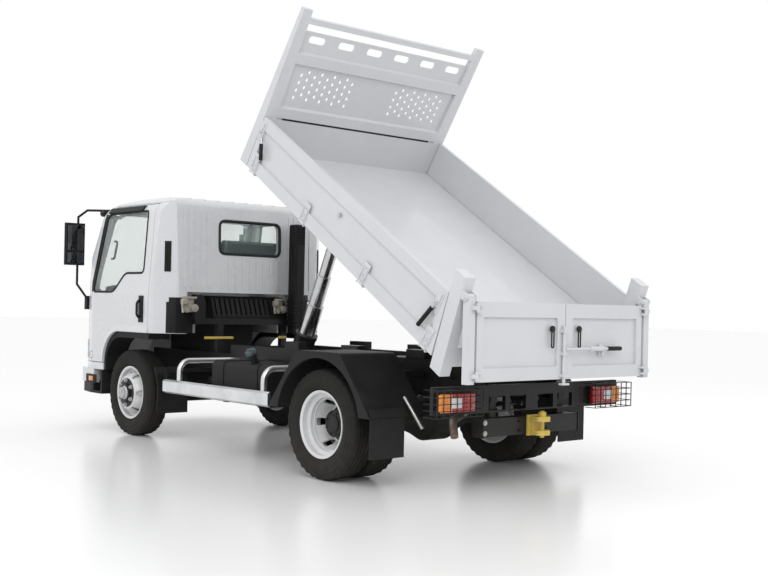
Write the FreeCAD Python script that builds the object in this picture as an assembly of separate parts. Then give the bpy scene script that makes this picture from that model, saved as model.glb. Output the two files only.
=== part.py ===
import FreeCAD, Part
import math
import os

os.makedirs("parts", exist_ok=True)

from FreeCAD import Vector

# Light tipper truck with a cab over its front axle. Millimetres.
# +X is the vehicle's left, +Y points to its tail and +Z up. The tyres stand on Z = 0.
# The shapes are drawn with the rear axle at Y = 0 and shifted to the box centre at the end.

# Wheels and axles
wheelbase = 2980.0
tyre_radius = 383.0
tyre_width = 212.0
rim_radius = 235.0
rim_width = 176.0
front_track = 1600.0
rear_track = 1700.0
dual_spacing = 240.0
disc_thickness = 9.0
hub_bore_radius = 82.0
hand_hole_count = 6
hand_hole_radius = 27.0
hand_hole_circle = 172.0
kingpin_inset = 110.0
axle_boss_radius = 31.0
tyre_seat_drop = 12.0
tread_share = 0.74
crown_drop = 4.0
shoulder_share = 0.90
shoulder_drop = 32.0
belly_share = 0.80
bead_share = 0.96
bead_rise = 22.0
rim_edge = 8.0
rim_slope = 2.0
rim_wall = 8.0
well_depth = 26.0
well_half = 26.0
well_slope = 10.0
well_thickening = 4.0
dish_root = 16.0
dish_share = 0.72
dish_drop = 22.0
crown_share = 0.94
crown_radius = 150.0
nut_face_radius = 132.0
kingpin_radius = 22.0
kingpin_half = 80.0
beam_depth_half = 45.0
beam_dip = 95.0
beam_web_offset = 14.0
front_seat_rise = 5.0
axle_sweep = 125.0
axle_flange = 20.0
stub_radius = 40.0
front_drum_half = 40.0
front_drum_radius = 158.0
front_drum_lip = 150.0
front_cap_radius = 50.0
front_cap_reach = 52.0
axle_tube_radius = 60.0
rear_drum_start = -190.0
rear_drum_end = -40.0
rear_drum_radius = 168.0
rear_drum_lip = 160.0
rear_hub_radius = 92.0
rear_hub_reach = 92.0
hub_flange_radius = 130.0
knuckle_half = 34.0
knuckle_jaw = 32.0
knuckle_jaw_start = 50.0
steering_arm_reach = 190.0
banjo_radius = 168.0
banjo_half = 100.0
spring_width = 70.0
spring_leaf = 11.0
spring_half_length = 560.0
spring_step = 0.16
spring_eye_radius = 24.0
front_spring_rise = 85.0
front_spring_leaves = 4
rear_spring_rise = 22.0
rear_spring_leaves = 5
rear_spring_offset = 30.0
rear_saddle_height = 65.0
shaft_radius = 38.0
shaft_joint_radius = 60.0
shaft_joint_length = 62.0
shaft_rear = -322.0

# Ladder frame and tipping subframe
frame_half_width = 375.0
frame_bottom = 580.0
frame_height = 180.0
frame_flange = 60.0
frame_web = 6.0
frame_front = 3760.0
frame_rear = 880.0
member_inset = 25.0
member_depth = 70.0
member_places = [-1150.0, -560.0, 560.0]
subframe_height = 80.0
subframe_width = 60.0
subframe_front = 2150.0
pad_height = 60.0
pad_length = 190.0
pad_overhang = 12.0
pad_places = [-1350.0, -620.0, 120.0, 640.0]
bar_width = 60.0
bar_places = [-1100.0, -300.0, 400.0]
cradle_front = 270.0
cradle_rear = 330.0
cradle_lift = 40.0
cradle_gap = 40.0
cradle_plate = 8.0
cheek_half = 70.0
cheek_bottom = 62.0

# Engine and exhaust
engine_front = -3400.0
engine_rear = -2700.0
engine_top = 1035.0
engine_half = 230.0
engine_sump = 480.0
gearbox_half = 125.0
gearbox_end = -2120.0
gearbox_low = 390.0
gearbox_top = 740.0
gearbox_shaft_level = 480.0
exhaust_radius = 27.0
silencer_radius = 88.0
silencer_front = -1130.0
silencer_rear = -460.0
silencer_x = 218.0
silencer_z = 488.0
silencer_bevel = 12.0
tailpipe_over = 635.0
tailpipe_fall = 200.0

# Tanks, guards and tail
tank_inner = 430.0
tank_outer = 850.0
tank_front = -1700.0
tank_rear = -930.0
tank_low = 410.0
tank_top = 735.0
tank_corner = 45.0
strap_width = 40.0
strap_thickness = 5.0
strap_inset = 130.0
filler_inset = 260.0
filler_length = 108.0
cap_radius = 42.0
battery_shift = 60.0
guard_x = 975.0
guard_front = -2220.0
guard_rear = -710.0
guard_low = 440.0
guard_depth = 112.0
guard_thickness = 26.0
guard_bevel = 7.0
guard_arm_radius = 23.0
guard_arm_front = 190.0
guard_arm_rear = 120.0
mudguard_inner = 600.0
mudguard_outer = 1100.0
mudguard_top = 885.0
mudguard_low = 470.0
mudguard_half_top = 240.0
mudguard_half_low = 565.0
mudguard_arch = 458.0
mudguard_wall = 8.0
mudguard_lip = 24.0
mudguard_arm = 40.0
rear_flap_inner = 790.0
rear_flap_outer = 1090.0
rear_flap_low = 205.0
flap_thickness = 8.0
splash_radius = 500.0
splash_inset = 20.0
splash_low = 235.0
splash_arm = 60.0
tail_y = 950.0
tail_bar_depth = 30.0
tail_bar_half = 935.0
tail_bar_low = 520.0
tail_bar_top = 700.0
tail_openings = [60.0, 265.0]
tail_opening_width = 162.0
tail_rim_low = 12.0
tail_rim_top = 75.0
lamp_inner = 597.0
lamp_outer = 917.0
lamp_low = 536.0
lamp_top = 664.0
lamp_depth = 45.0
lamp_edge = 6.5
cage_reach = 50.0
cage_columns = 8
cage_rows = 5
wire = 5.0
beam_y = 900.0
beam_half = 490.0
beam_low = 360.0
beam_top = 480.0
beam_depth = 90.0
hitch_half = 62.0
hitch_reach = 130.0
hitch_bolt_x = 140.0
hitch_bolt_radius = 8.5

# Tipping bed, drawn lowered and then tipped about the rear pivot
pivot_y = 920.0
pivot_z = 820.0
tip_angle = 33.0
rear_cant = 14.0
beam_bottom = 85.0
beam_height = 80.0
beam_width = 60.0
cross_height = 40.0
cross_width = 50.0
cross_count = 8
floor_thickness = 5.0
bed_length = 2520.0
bed_tail = 105.0
bed_half_width = 900.0
side_rail_depth = 85.0
side_rail_width = 50.0
board_thickness = 38.0
board_top = 505.0
board_stile = 60.0
board_foot = 95.0
board_head = 85.0
board_recess = 14.0
latch_width = 32.0
latch_height = 100.0
latch_drop = 35.0
pillar_low = 22.0
pillar_top = 656.0
pillar_width = 90.0
pillar_depth = 105.0
running_gap = 6.0
seat_gap = 0.3

# Headboard, with heights above the pivot
headboard_top = 1375.0
post_width_low = 130.0
post_width_top = 80.0
post_depth_low = 100.0
post_depth_top = 40.0
top_rail_low = 1271.0
top_rail_top = 1314.0
sheet_thickness = 6.0
sheet_recess = 24.0
sheet_slope = 14.0
seam_height = 16.0
backing_half = 40.0
seam_depth = 10.0
ram_notch_half = 115.0
ram_notch_top = 122.0
foot_band_top = 592.0
ledge_low = 957.0
ledge_top = 1036.0
strip_top = 1210.0
slot_count = 6
slot_level = 1153.0
slot_half = 75.0
slot_half_height = 28.0
hole_low = 683.0
hole_rows = 4
hole_columns = 9
hole_pitch = 62.0
hole_half_width = 13.0
hole_half_height = 20.0
hole_group_x = 480.0

# Hinges and lugs of the bed
sill_depth = 70.0
beam_setback = 20.0
lug_offset = 40.0
lug_thickness = 24.0
lug_eye_radius = 46.0
pivot_radius = 24.0
pin_clearance = 0.05
board_lift = 3.0
hinge_half = 30.0
hinge_shares = [0.04, 0.34, 0.66, 0.96]
root_overlap = 5.0
hinge_radius = 11.0
cheek_width = 10.0
cheek_reach = 8.0
cheek_drop = 14.0
ear_inner = 30.0
ear_thickness = 14.0
doubler_half = 90.0
gate_lug_width = 12.0
gate_lug_inset = 2.0
gate_lug_radius = 26.0
gate_lug_root = 60.0
gate_pin_overhang = 8.0
gate_pin_radius = 11.0

# Tailgate, which hangs from the pillar tops
gate_pivot_height = 545.0
gate_height = 500.0
gate_drop = 25.0
gate_thickness = 42.0
gate_post_width = 50.0
leaf_gap = 6.0
leaf_edge = 18.0
lock_standoff = 16.0
lever_standoff = 14.0
grip_radius = 16.0
knuckle_height = 14.0
knuckle_radius = 12.0
lug_reach = 34.0
leaf_hinge_inset = 40.0
leaf_stile = 60.0
leaf_foot = 85.0
leaf_head = 95.0
leaf_recess = 16.0
lock_radius = 12.0
lock_drop = 150.0
lock_foot_half = 34.0
guide_half = 20.0
lever_level = 200.0
lever_length = 330.0
lever_radius = 9.0

# Telescopic lifting cylinder
ram_base_y = -1740.0
ram_base_z = 565.0
ram_eye_distance = 2360.0
ram_eye_height = 150.0
ram_stage_count = 5
ram_barrel_radius = 92.0
ram_stage_step = 12.0
ram_wall = 18.0
ram_floor = 6.0
ram_foot_radius = 52.0
ram_pin_radius = 25.0
ram_eye_radius = 32.0
ram_eye_bore = 14.0
ram_head_room = 75.0
ram_start = 20.0
ram_foot_sink = 8.0
ram_collar = 6.0
ram_collar_height = 38.0
ram_floor_gap = 2.0
ram_rise = 4.0

# Cab
cab_half_width = 920.0
cab_rear = -2420.0
cab_nose = -4010.0
cab_roof = 2150.0
cab_sill = 560.0
cab_floor_top = 960.0
cab_wall = 60.0
back_lean = 22.0
roof_fall = 45.0
roof_crest = 560.0
brow_fall = 55.0
screen_lean = 480.0
screen_foot = 105.0
screen_inset_share = 0.6
nose_rise = 260.0
nose_tuck = 30.0
side_lean = 62.0
gutter_fall = 130.0
roof_shoulder = 150.0
crown_fall = 12.0
back_corner = 170.0
nose_corner = 330.0
nose_shoulder = 70.0
nose_flat = 420.0
floor_depth = 40.0
rail_passage = 20.0
skin_inset = 1.0
belt_line = 1260.0
arch_top = 925.0
arch_front = -3440.0
arch_corner = 290.0
arch_flare = 12.0
arch_flare_height = 58.0
liner_front = 35.0
liner_top = 55.0
liner_inner = 700.0
swage_height = 5.0
swage_width = 24.0
side_swages = 5
side_swage_x = 440.0
side_swage_pitch = 60.0
low_swages = 9
low_swage_pitch = 75.0
roof_swage_count = 9
roof_swage_pitch = 150.0
roof_swage_front = 420.0
roof_swage_rear = 80.0
engine_bay_top = 1290.0
engine_bay_half = 660.0
engine_bay_front = -2620.0
tunnel_half = 450.0
tunnel_front = -3440.0
tunnel_top = 1080.0
rear_window_half = 330.0
rear_window_low = 1640.0
rear_window_top = 1935.0
glass_thickness = 4.0
glass_inset = 22.0
door_front = -3840.0
door_rear = -2640.0
door_top = 2060.0
door_low = 630.0
door_gap = 6.0
door_lean = 300.0
front_seam_inset = 330.0
sill_rise = 20.0
sill_gap = 1.0
hinge_relief = 12.0
hinge_relief_length = 50.0
window_step = 190.0
window_head = 60.0
window_post = 110.0
window_front_foot = 165.0
window_front_head = 345.0
window_dip_end = 560.0
window_step_start = 760.0
screen_low = 30.0
screen_depth = 900.0
door_hole_share = 0.78
screen_top = 150.0
screen_post = 130.0
bumper_depth = 60.0
driver_x = 400.0
intake_outer = -497.0
mount_half = 605.0

disc_offset = dual_spacing / 2.0
stub_end = 20.0
side_x = bed_half_width + board_thickness
king_x = front_track / 2.0 - kingpin_inset
rail_x = frame_half_width - frame_flange / 2.0
rail_top = frame_bottom + frame_height
subframe_top = rail_top + subframe_height
front_axle_y = -wheelbase
bumper_front = cab_nose - bumper_depth
floor_top = beam_bottom + beam_height + cross_height + floor_thickness


def space(axis, base):
    """Return a function that turns flat points into points on a plane across the axis."""
    if axis == "x":
        return lambda a, b: Vector(base, a, b)
    if axis == "y":
        return lambda a, b: Vector(a, base, b)
    return lambda a, b: Vector(a, b, base)


def flat_face(points, place):
    """Make a face from corner points (a, b) or (a, b, corner radius)."""
    corners = []
    count = len(points)
    for index in range(count):
        here = points[index]
        before = points[index - 1]
        after = points[(index + 1) % count]
        radius = here[2] if len(here) > 2 else 0.0
        if radius == 0.0:
            corners.append((here[:2], None, here[:2]))
            continue
        to_before = Vector(before[0] - here[0], before[1] - here[1], 0).normalize()
        to_after = Vector(after[0] - here[0], after[1] - here[1], 0).normalize()
        half = to_before.getAngle(to_after) / 2.0
        reach = radius / math.tan(half)
        start = (here[0] + to_before.x * reach, here[1] + to_before.y * reach)
        end = (here[0] + to_after.x * reach, here[1] + to_after.y * reach)
        middle = (to_before + to_after).normalize()
        depth = radius / math.sin(half) - radius
        top = (here[0] + middle.x * depth, here[1] + middle.y * depth)
        corners.append((start, top, end))
    edges = []
    for index in range(count):
        start, top, end = corners[index]
        next_start = corners[(index + 1) % count][0]
        if top is not None:
            edges.append(Part.Arc(place(*start), place(*top), place(*end)).toShape())
        if math.dist(end, next_start) > 0.001:
            edges.append(Part.LineSegment(place(*end), place(*next_start)).toShape())
    return Part.Face(Part.Wire(edges))


def prism(axis, points, low, high):
    """Extrude an outline along an axis from low to high."""
    direction = {"x": Vector(1, 0, 0), "y": Vector(0, 1, 0), "z": Vector(0, 0, 1)}[axis]
    return flat_face(points, space(axis, low)).extrude(direction * (high - low))


def block(x0, x1, y0, y1, z0, z1):
    """Make a box between two corners."""
    return Part.makeBox(x1 - x0, y1 - y0, z1 - z0, Vector(x0, y0, z0))


def rod(start, end, radius):
    """Make a round bar between two points."""
    line = end - start
    return Part.makeCylinder(radius, line.Length, start, line)


def spin(points, centre):
    """Turn an outline of (x, radius) points about the X line through a centre."""
    face = Part.Face(Part.makePolygon([Vector(x, 0, r) for x, r in points + points[:1]]))
    shape = face.revolve(Vector(0, 0, 0), Vector(1, 0, 0), 360)
    shape.translate(centre)
    return shape


def join(shapes):
    """Fuse shapes into one piece."""
    result = shapes[0]
    if len(shapes) > 1:
        result = result.fuse(shapes[1:])
    return result.removeSplitter()


def mirrored(shape):
    """Return the same shape on the other side of the vehicle."""
    return shape.mirror(Vector(0, 0, 0), Vector(1, 0, 0))


def both_sides(shape):
    """Return a shape and its mirror image as separate solids of one piece."""
    return Part.makeCompound(shape.Solids + mirrored(shape).Solids)


def bent_tube(points, radius, bend):
    """Make a round bar along straight runs joined by tangent bends."""
    edges = []
    here = points[0]
    for index in range(1, len(points) - 1):
        corner = points[index]
        back = (points[index - 1] - corner).normalize()
        ahead = (points[index + 1] - corner).normalize()
        half = back.getAngle(ahead) / 2.0
        reach = bend / math.tan(half)
        start = corner + back * reach
        end = corner + ahead * reach
        middle = corner + (back + ahead).normalize() * (bend / math.sin(half) - bend)
        edges.append(Part.LineSegment(here, start).toShape())
        edges.append(Part.Arc(start, middle, end).toShape())
        here = end
    edges.append(Part.LineSegment(here, points[-1]).toShape())
    path = Part.Wire(edges)
    direction = points[1] - points[0]
    outer = Part.Wire(Part.makeCircle(radius, points[0], direction))
    return path.makePipeShell([outer], True, False)


def arm(points, radius):
    """Make a round bar along straight runs with ball corners."""
    pieces = []
    for index in range(len(points) - 1):
        pieces.append(rod(points[index], points[index + 1], radius))
    for corner in points[1:-1]:
        pieces.append(Part.makeSphere(radius, corner))
    return join(pieces)


def tipped(shape):
    """Turn a shape drawn on the lowered bed up to the tipped position."""
    turned = shape.copy()
    turned.rotate(Vector(0, pivot_y, pivot_z), Vector(1, 0, 0), -tip_angle)
    return turned


def bed_point(forward, up, x=0.0):
    """Return the tipped place of a point given along and above the bed's pivot."""
    angle = math.radians(tip_angle)
    y = pivot_y - forward * math.cos(angle) + up * math.sin(angle)
    z = pivot_z + forward * math.sin(angle) + up * math.cos(angle)
    return Vector(x, y, z)


# Wheels

def tyre(centre):
    """A tyre with straight tread, rounded shoulders and bulging walls."""
    half = tyre_width / 2.0
    bead = rim_width / 2.0 - rim_edge - rim_slope - seat_gap
    near = [
        (-bead, rim_radius - tyre_seat_drop),
        (-bead, rim_radius + rim_slope),
        (-half * bead_share, rim_radius + bead_rise),
        (-half, tyre_radius * belly_share),
        (-half * shoulder_share, tyre_radius - shoulder_drop),
        (-half * tread_share, tyre_radius - crown_drop),
    ]
    far = [(-x, radius) for x, radius in reversed(near)]
    return spin(near + [(0.0, tyre_radius)] + far, centre)


def rim(centre, facing):
    """A steel wheel: drop-centre rim and a dished disc on the side it faces."""
    half = rim_width / 2.0
    seat = rim_radius - tyre_seat_drop - seat_gap
    well = seat - well_depth
    slope_end = well_half + well_slope
    top = [
        (-half, rim_radius),
        (-half + rim_edge, rim_radius),
        (-half + rim_edge + rim_slope, seat),
        (-slope_end, seat),
        (-well_half, well),
    ]
    under = [
        (-well_half - well_thickening, well - rim_wall),
        (-slope_end - well_thickening, seat - rim_wall),
        (-half + rim_edge, seat - rim_wall),
        (-half, rim_radius - rim_wall),
    ]
    right_top = [(-x, radius) for x, radius in reversed(top)]
    right_under = [(-x, radius) for x, radius in reversed(under)]
    outer = spin(top + right_top + right_under + under, Vector(0, 0, 0))
    face = disc_offset
    back = face - disc_thickness
    rim_in = well - rim_wall
    disc = spin([
        (0.0, rim_in + rim_slope),
        (dish_root, rim_in + rim_slope),
        (face * dish_share, rim_in - dish_drop),
        (face * crown_share, crown_radius),
        (face, nut_face_radius),
        (face, hub_bore_radius),
        (back, hub_bore_radius),
        (back, nut_face_radius - 0.5 * disc_thickness),
        (back * crown_share, crown_radius - 0.8 * disc_thickness),
        (back * dish_share, rim_in - dish_drop - 1.2 * disc_thickness),
        (dish_root - 0.5 * disc_thickness, rim_in - disc_thickness),
        (0.0, rim_in - disc_thickness),
    ], Vector(0, 0, 0))
    wheel = outer.fuse(disc)
    holes = []
    for index in range(hand_hole_count):
        angle = 2.0 * math.pi * index / hand_hole_count
        y = hand_hole_circle * math.cos(angle)
        z = hand_hole_circle * math.sin(angle)
        holes.append(rod(Vector(dish_root, y, z), Vector(face + disc_thickness, y, z), hand_hole_radius))
    wheel = wheel.cut(holes)
    if facing < 0:
        wheel = mirrored(wheel)
    wheel.translate(centre)
    return wheel


def front_hub(centre):
    """The hub and drum that carry a front wheel, with a domed cap outside."""
    face = disc_offset
    back = face - disc_thickness
    bore = stub_radius + pin_clearance
    cap = face + front_cap_reach
    return spin([
        (-front_drum_half, bore),
        (-front_drum_half, front_drum_lip),
        (front_drum_half, front_drum_radius),
        (back, hub_flange_radius),
        (back, hub_bore_radius - seat_gap),
        (cap - 0.6 * front_cap_reach, 1.5 * front_cap_radius),
        (cap - 0.5 * front_cap_reach, 1.1 * front_cap_radius),
        (cap - 0.1 * front_cap_reach, front_cap_radius),
        (cap, 0.7 * front_cap_radius),
        (cap, 0.0),
        (stub_end, 0.0),
        (stub_end, bore),
    ], centre)


def rear_hub(centre):
    """The brake drum and hub of the twin rear wheels."""
    bore = axle_tube_radius + pin_clearance
    return spin([
        (rear_drum_start, bore),
        (rear_drum_start, rear_drum_lip),
        (rear_drum_end, rear_drum_radius),
        (-disc_thickness, hub_flange_radius),
        (-disc_thickness, hub_bore_radius - seat_gap),
        (0.76 * rear_hub_reach, 0.85 * rear_hub_radius),
        (0.80 * rear_hub_reach, rear_hub_radius),
        (0.93 * rear_hub_reach, rear_hub_radius),
        (rear_hub_reach, 0.65 * rear_hub_radius),
        (rear_hub_reach, 0.0),
        (stub_end, 0.0),
        (stub_end, bore),
    ], centre)


def front_wheel():
    """Left front wheel and tyre."""
    centre = Vector(front_track / 2.0, front_axle_y, tyre_radius)
    return join([rim(centre, 1), front_hub(centre)]), tyre(centre)


def rear_wheels():
    """Left twin rear wheels and tyres, bolted back to back."""
    middle = rear_track / 2.0
    outer = Vector(middle + dual_spacing / 2.0, 0, tyre_radius)
    inner = Vector(middle - dual_spacing / 2.0, 0, tyre_radius)
    hub = rear_hub(Vector(middle, 0, tyre_radius))
    wheels = join([rim(outer, -1), rim(inner, 1), hub])
    return wheels, Part.makeCompound([tyre(outer), tyre(inner)])


# Axles and springs

def front_axle():
    """The dropped I-beam between the steering knuckles."""
    end = king_x - beam_depth_half
    low = tyre_radius - beam_dip
    spring_seat = tyre_radius + front_seat_rise
    half = [
        (end, tyre_radius - beam_depth_half), (end, tyre_radius + beam_depth_half),
        (end - axle_sweep, spring_seat),
    ]
    bottom = [(-end, tyre_radius - beam_depth_half), (-end + axle_sweep, low), (end - axle_sweep, low)]
    top = [(-x, z) for x, z in reversed(half[1:])]
    beam = prism("y", bottom + half + top, front_axle_y - beam_depth_half, front_axle_y + beam_depth_half)
    reach = end - axle_sweep - 0.5 * beam_web_offset
    for side in (-1, 1):
        near = front_axle_y + side * beam_web_offset
        far = front_axle_y + side * (beam_depth_half + 5.0)
        pocket = block(-reach, reach, min(near, far), max(near, far), low + axle_flange, spring_seat - axle_flange)
        beam = beam.cut(pocket)
    pieces = [beam]
    for side in (-1, 1):
        foot = Vector(side * king_x, front_axle_y, tyre_radius - beam_depth_half)
        pieces.append(rod(foot, foot + Vector(0, 0, 2.0 * beam_depth_half), axle_boss_radius))
        low_x = min(side * (king_x - 2.0 * axle_boss_radius), side * king_x)
        pieces.append(block(low_x, low_x + 2.0 * axle_boss_radius, front_axle_y - axle_boss_radius,
                            front_axle_y + axle_boss_radius, foot.z, foot.z + 2.0 * beam_depth_half))
    beam = join(pieces)
    for side in (-1, 1):
        centre = Vector(side * king_x, front_axle_y, tyre_radius)
        up = Vector(0, 0, 2.0 * beam_depth_half)
        beam = beam.cut(rod(centre - up, centre + up, kingpin_radius + pin_clearance))
    return beam


def knuckle():
    """Left steering knuckle: fork, kingpin and stub axle."""
    centre = Vector(king_x, front_axle_y, tyre_radius)
    up = Vector(0, 0, kingpin_half)
    pin = rod(centre - up, centre + up, kingpin_radius)
    inner = king_x - axle_boss_radius
    outer = king_x + 2.0 * axle_boss_radius
    web = outer - knuckle_jaw + 8.0
    top = knuckle_jaw_start + knuckle_jaw
    y0 = centre.y - knuckle_half
    y1 = centre.y + knuckle_half
    fork = [
        block(inner, outer, y0, y1, centre.z - top, centre.z - knuckle_jaw_start),
        block(inner, outer, y0, y1, centre.z + knuckle_jaw_start, centre.z + top),
        block(web, outer, y0, y1, centre.z - top, centre.z + top),
    ]
    tip = Vector(front_track / 2.0 + stub_end - 5.0, centre.y, centre.z)
    stub = rod(Vector(outer - 2.0, centre.y, centre.z), tip, stub_radius)
    lever = block(inner, inner + stub_radius, y1 - 4.0, centre.y + steering_arm_reach, centre.z - top,
                  centre.z - top + 20.0)
    return join([pin] + fork + [stub, lever])


def leaf_spring(x, y, axle_top, eye_z, half_length, leaves):
    """A curved pack of leaves with its eyes and saddle, under a frame rail."""
    width = spring_width
    leaf = spring_leaf
    pieces = []
    for index in range(leaves):
        length = half_length * (1.0 - spring_step * index)
        sag = (eye_z - axle_top) * (length / half_length) ** 2
        low = axle_top + leaf * (leaves - 1 - index)
        top = low + leaf
        ends = [(-length, low + sag), (0.0, low), (length, low + sag)]
        lower = Part.Arc(*[Vector(x - width / 2.0, y + a, b) for a, b in ends]).toShape()
        upper = Part.Arc(*[Vector(x - width / 2.0, y + a, b + leaf) for a, b in ends]).toShape()
        first = Part.LineSegment(lower.Vertexes[0].Point, upper.Vertexes[0].Point).toShape()
        last = Part.LineSegment(lower.Vertexes[-1].Point, upper.Vertexes[-1].Point).toShape()
        face = Part.Face(Part.Wire(Part.__sortEdges__([lower, upper, first, last])))
        pieces.append(face.extrude(Vector(width, 0, 0)))
    top = axle_top + leaf * leaves
    for end in (-1, 1):
        eye = Vector(x - width / 2.0, y + end * half_length, top + (eye_z - axle_top))
        pieces.append(rod(eye, eye + Vector(width, 0, 0), spring_eye_radius))
        pieces.append(block(x - spring_leaf, x + spring_leaf, eye.y - spring_eye_radius, eye.y + spring_eye_radius,
                            eye.z, frame_bottom - seat_gap))
    return join(pieces)


def leaf_springs():
    """Front and rear springs on both sides."""
    front_top = tyre_radius + front_seat_rise + seat_gap
    front = leaf_spring(rail_x, front_axle_y, front_top, front_top + front_spring_rise, spring_half_length,
                        front_spring_leaves)
    rear_top = tyre_radius + rear_saddle_height + seat_gap
    rear = leaf_spring(rail_x + rear_spring_offset, 0.0, rear_top, rear_top + rear_spring_rise, spring_half_length,
                       rear_spring_leaves)
    return Part.makeCompound(both_sides(front).Solids + both_sides(rear).Solids)


def rear_axle():
    """Banjo housing with its tubes, cover and pinion nose."""
    reach = rear_track / 2.0 - stub_end / 2.0
    drum = rear_track / 2.0 + rear_drum_start - stub_end
    centre = Vector(0, 0, tyre_radius)
    half = [
        (banjo_half, banjo_radius), (1.9 * banjo_half, 2.0 * axle_tube_radius),
        (3.3 * banjo_half, 1.07 * axle_tube_radius), (drum, axle_tube_radius), (reach, axle_tube_radius), (reach, 0.0),
    ]
    banjo = spin([(-x, radius) for x, radius in reversed(half)] + half, centre)
    nose = Part.makeCone(2.0 * axle_tube_radius, axle_tube_radius, 2.0 * banjo_half,
                         centre + Vector(0, -1.2 * banjo_half, 0.1 * banjo_half), Vector(0, -1, 0.05))
    x = rail_x + rear_spring_offset
    half_saddle = spring_width / 2.0 + 10.0
    saddles = []
    for side in (-1, 1):
        saddles.append(block(side * x - half_saddle, side * x + half_saddle, -spring_width, spring_width,
                             tyre_radius, tyre_radius + rear_saddle_height))
    return join([banjo, nose] + saddles)


def propeller_shaft():
    """The driving shaft from the gearbox to the rear axle."""
    rear = Vector(0, shaft_rear, tyre_radius + 0.2 * banjo_half)
    slope = (gearbox_shaft_level - rear.z) / (rear.y - gearbox_end)
    front = Vector(0, gearbox_end + seat_gap + shaft_joint_radius * slope, gearbox_shaft_level)
    line = (rear - front).normalize()
    yoke = line * shaft_joint_length
    shaft = rod(front + line * shaft_radius, rear - line * shaft_radius, shaft_radius)
    first = rod(front, front + yoke, shaft_joint_radius)
    last = rod(rear - yoke, rear - line * seat_gap, shaft_joint_radius)
    return join([shaft, first, last])


def engine():
    """Engine and gearbox as plain masses at their real place."""
    sump_step = 140.0
    motor = prism("x", [
        (engine_front, engine_sump + 120.0, 60.0), (engine_front, engine_top, 40.0), (engine_rear, engine_top, 40.0),
        (engine_rear, engine_sump, 60.0), (engine_front + sump_step, engine_sump, 60.0),
    ], -engine_half, engine_half)
    bell = engine_rear - 1.0
    gearbox = prism("x", [
        (bell, gearbox_low + 30.0, 20.0), (bell, gearbox_top, 20.0), (gearbox_end - 220.0, gearbox_top - 145.0, 40.0),
        (gearbox_end, gearbox_shaft_level + 80.0), (gearbox_end, gearbox_shaft_level - 80.0),
        (gearbox_end - 150.0, gearbox_low, 40.0),
    ], -gearbox_half, gearbox_half)
    return join([motor, gearbox])


# Frame

def frame_rails():
    """Two channel-section rails."""
    outer = frame_half_width
    rail = prism("y", [
        (outer - frame_flange, frame_bottom),
        (outer, frame_bottom),
        (outer, rail_top),
        (outer - frame_flange, rail_top),
        (outer - frame_flange, rail_top - frame_web),
        (outer - frame_web, rail_top - frame_web),
        (outer - frame_web, frame_bottom + frame_web),
        (outer - frame_flange, frame_bottom + frame_web),
    ], -frame_front, frame_rear)
    return both_sides(rail)


def frame_crossmembers():
    """Channel crossmembers that tie the rails together."""
    inner = frame_half_width - frame_web
    pieces = []
    low = frame_bottom + member_inset
    top = rail_top - member_inset
    last = frame_rear - member_depth - 10.0
    for y in [-frame_front + frame_flange, cab_rear + 170.0] + member_places + [last]:
        channel = prism("x", [
            (y, low),
            (y + member_depth, low),
            (y + member_depth, low + frame_web),
            (y + frame_web, low + frame_web),
            (y + frame_web, top - frame_web),
            (y + member_depth, top - frame_web),
            (y + member_depth, top),
            (y, top),
        ], -inner, inner)
        pieces.append(channel)
    return Part.makeCompound(pieces)


def subframe():
    """Tipping subframe: rails, crossbars, pads, cylinder cradle and rear pivot bar."""
    inner = frame_half_width - subframe_width
    base = rail_top
    pieces = []
    for side in (-1, 1):
        low = min(side * inner, side * frame_half_width)
        high = max(side * inner, side * frame_half_width)
        pieces.append(block(low, high, -subframe_front, frame_rear, base, subframe_top))
        for y in pad_places:
            pieces.append(block(low - pad_overhang, high + pad_overhang, y, y + pad_length, subframe_top,
                                subframe_top + pad_height))
        ear_top = pivot_z + pivot_radius + bar_width / 3.0
        ear = prism("x", [
            (frame_rear - bar_width, base),
            (pivot_y + pivot_radius, base),
            (pivot_y + 1.75 * pivot_radius, pivot_z, 20.0),
            (pivot_y + pivot_radius - 4.0, ear_top, 20.0),
            (pivot_y - pivot_radius - 6.0, ear_top, 20.0),
            (frame_rear - bar_width, subframe_top),
        ], low, high)
        pieces.append(ear)
    for y in [-subframe_front] + bar_places:
        pieces.append(block(-inner, inner, y, y + bar_width, base + pad_overhang, subframe_top - pad_overhang))
    pivot_reach = frame_half_width + lug_offset + 2.0 * pivot_radius
    pieces.append(rod(Vector(-pivot_reach, pivot_y, pivot_z), Vector(pivot_reach, pivot_y, pivot_z), pivot_radius))
    return join(pieces + ram_cradle())


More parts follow.
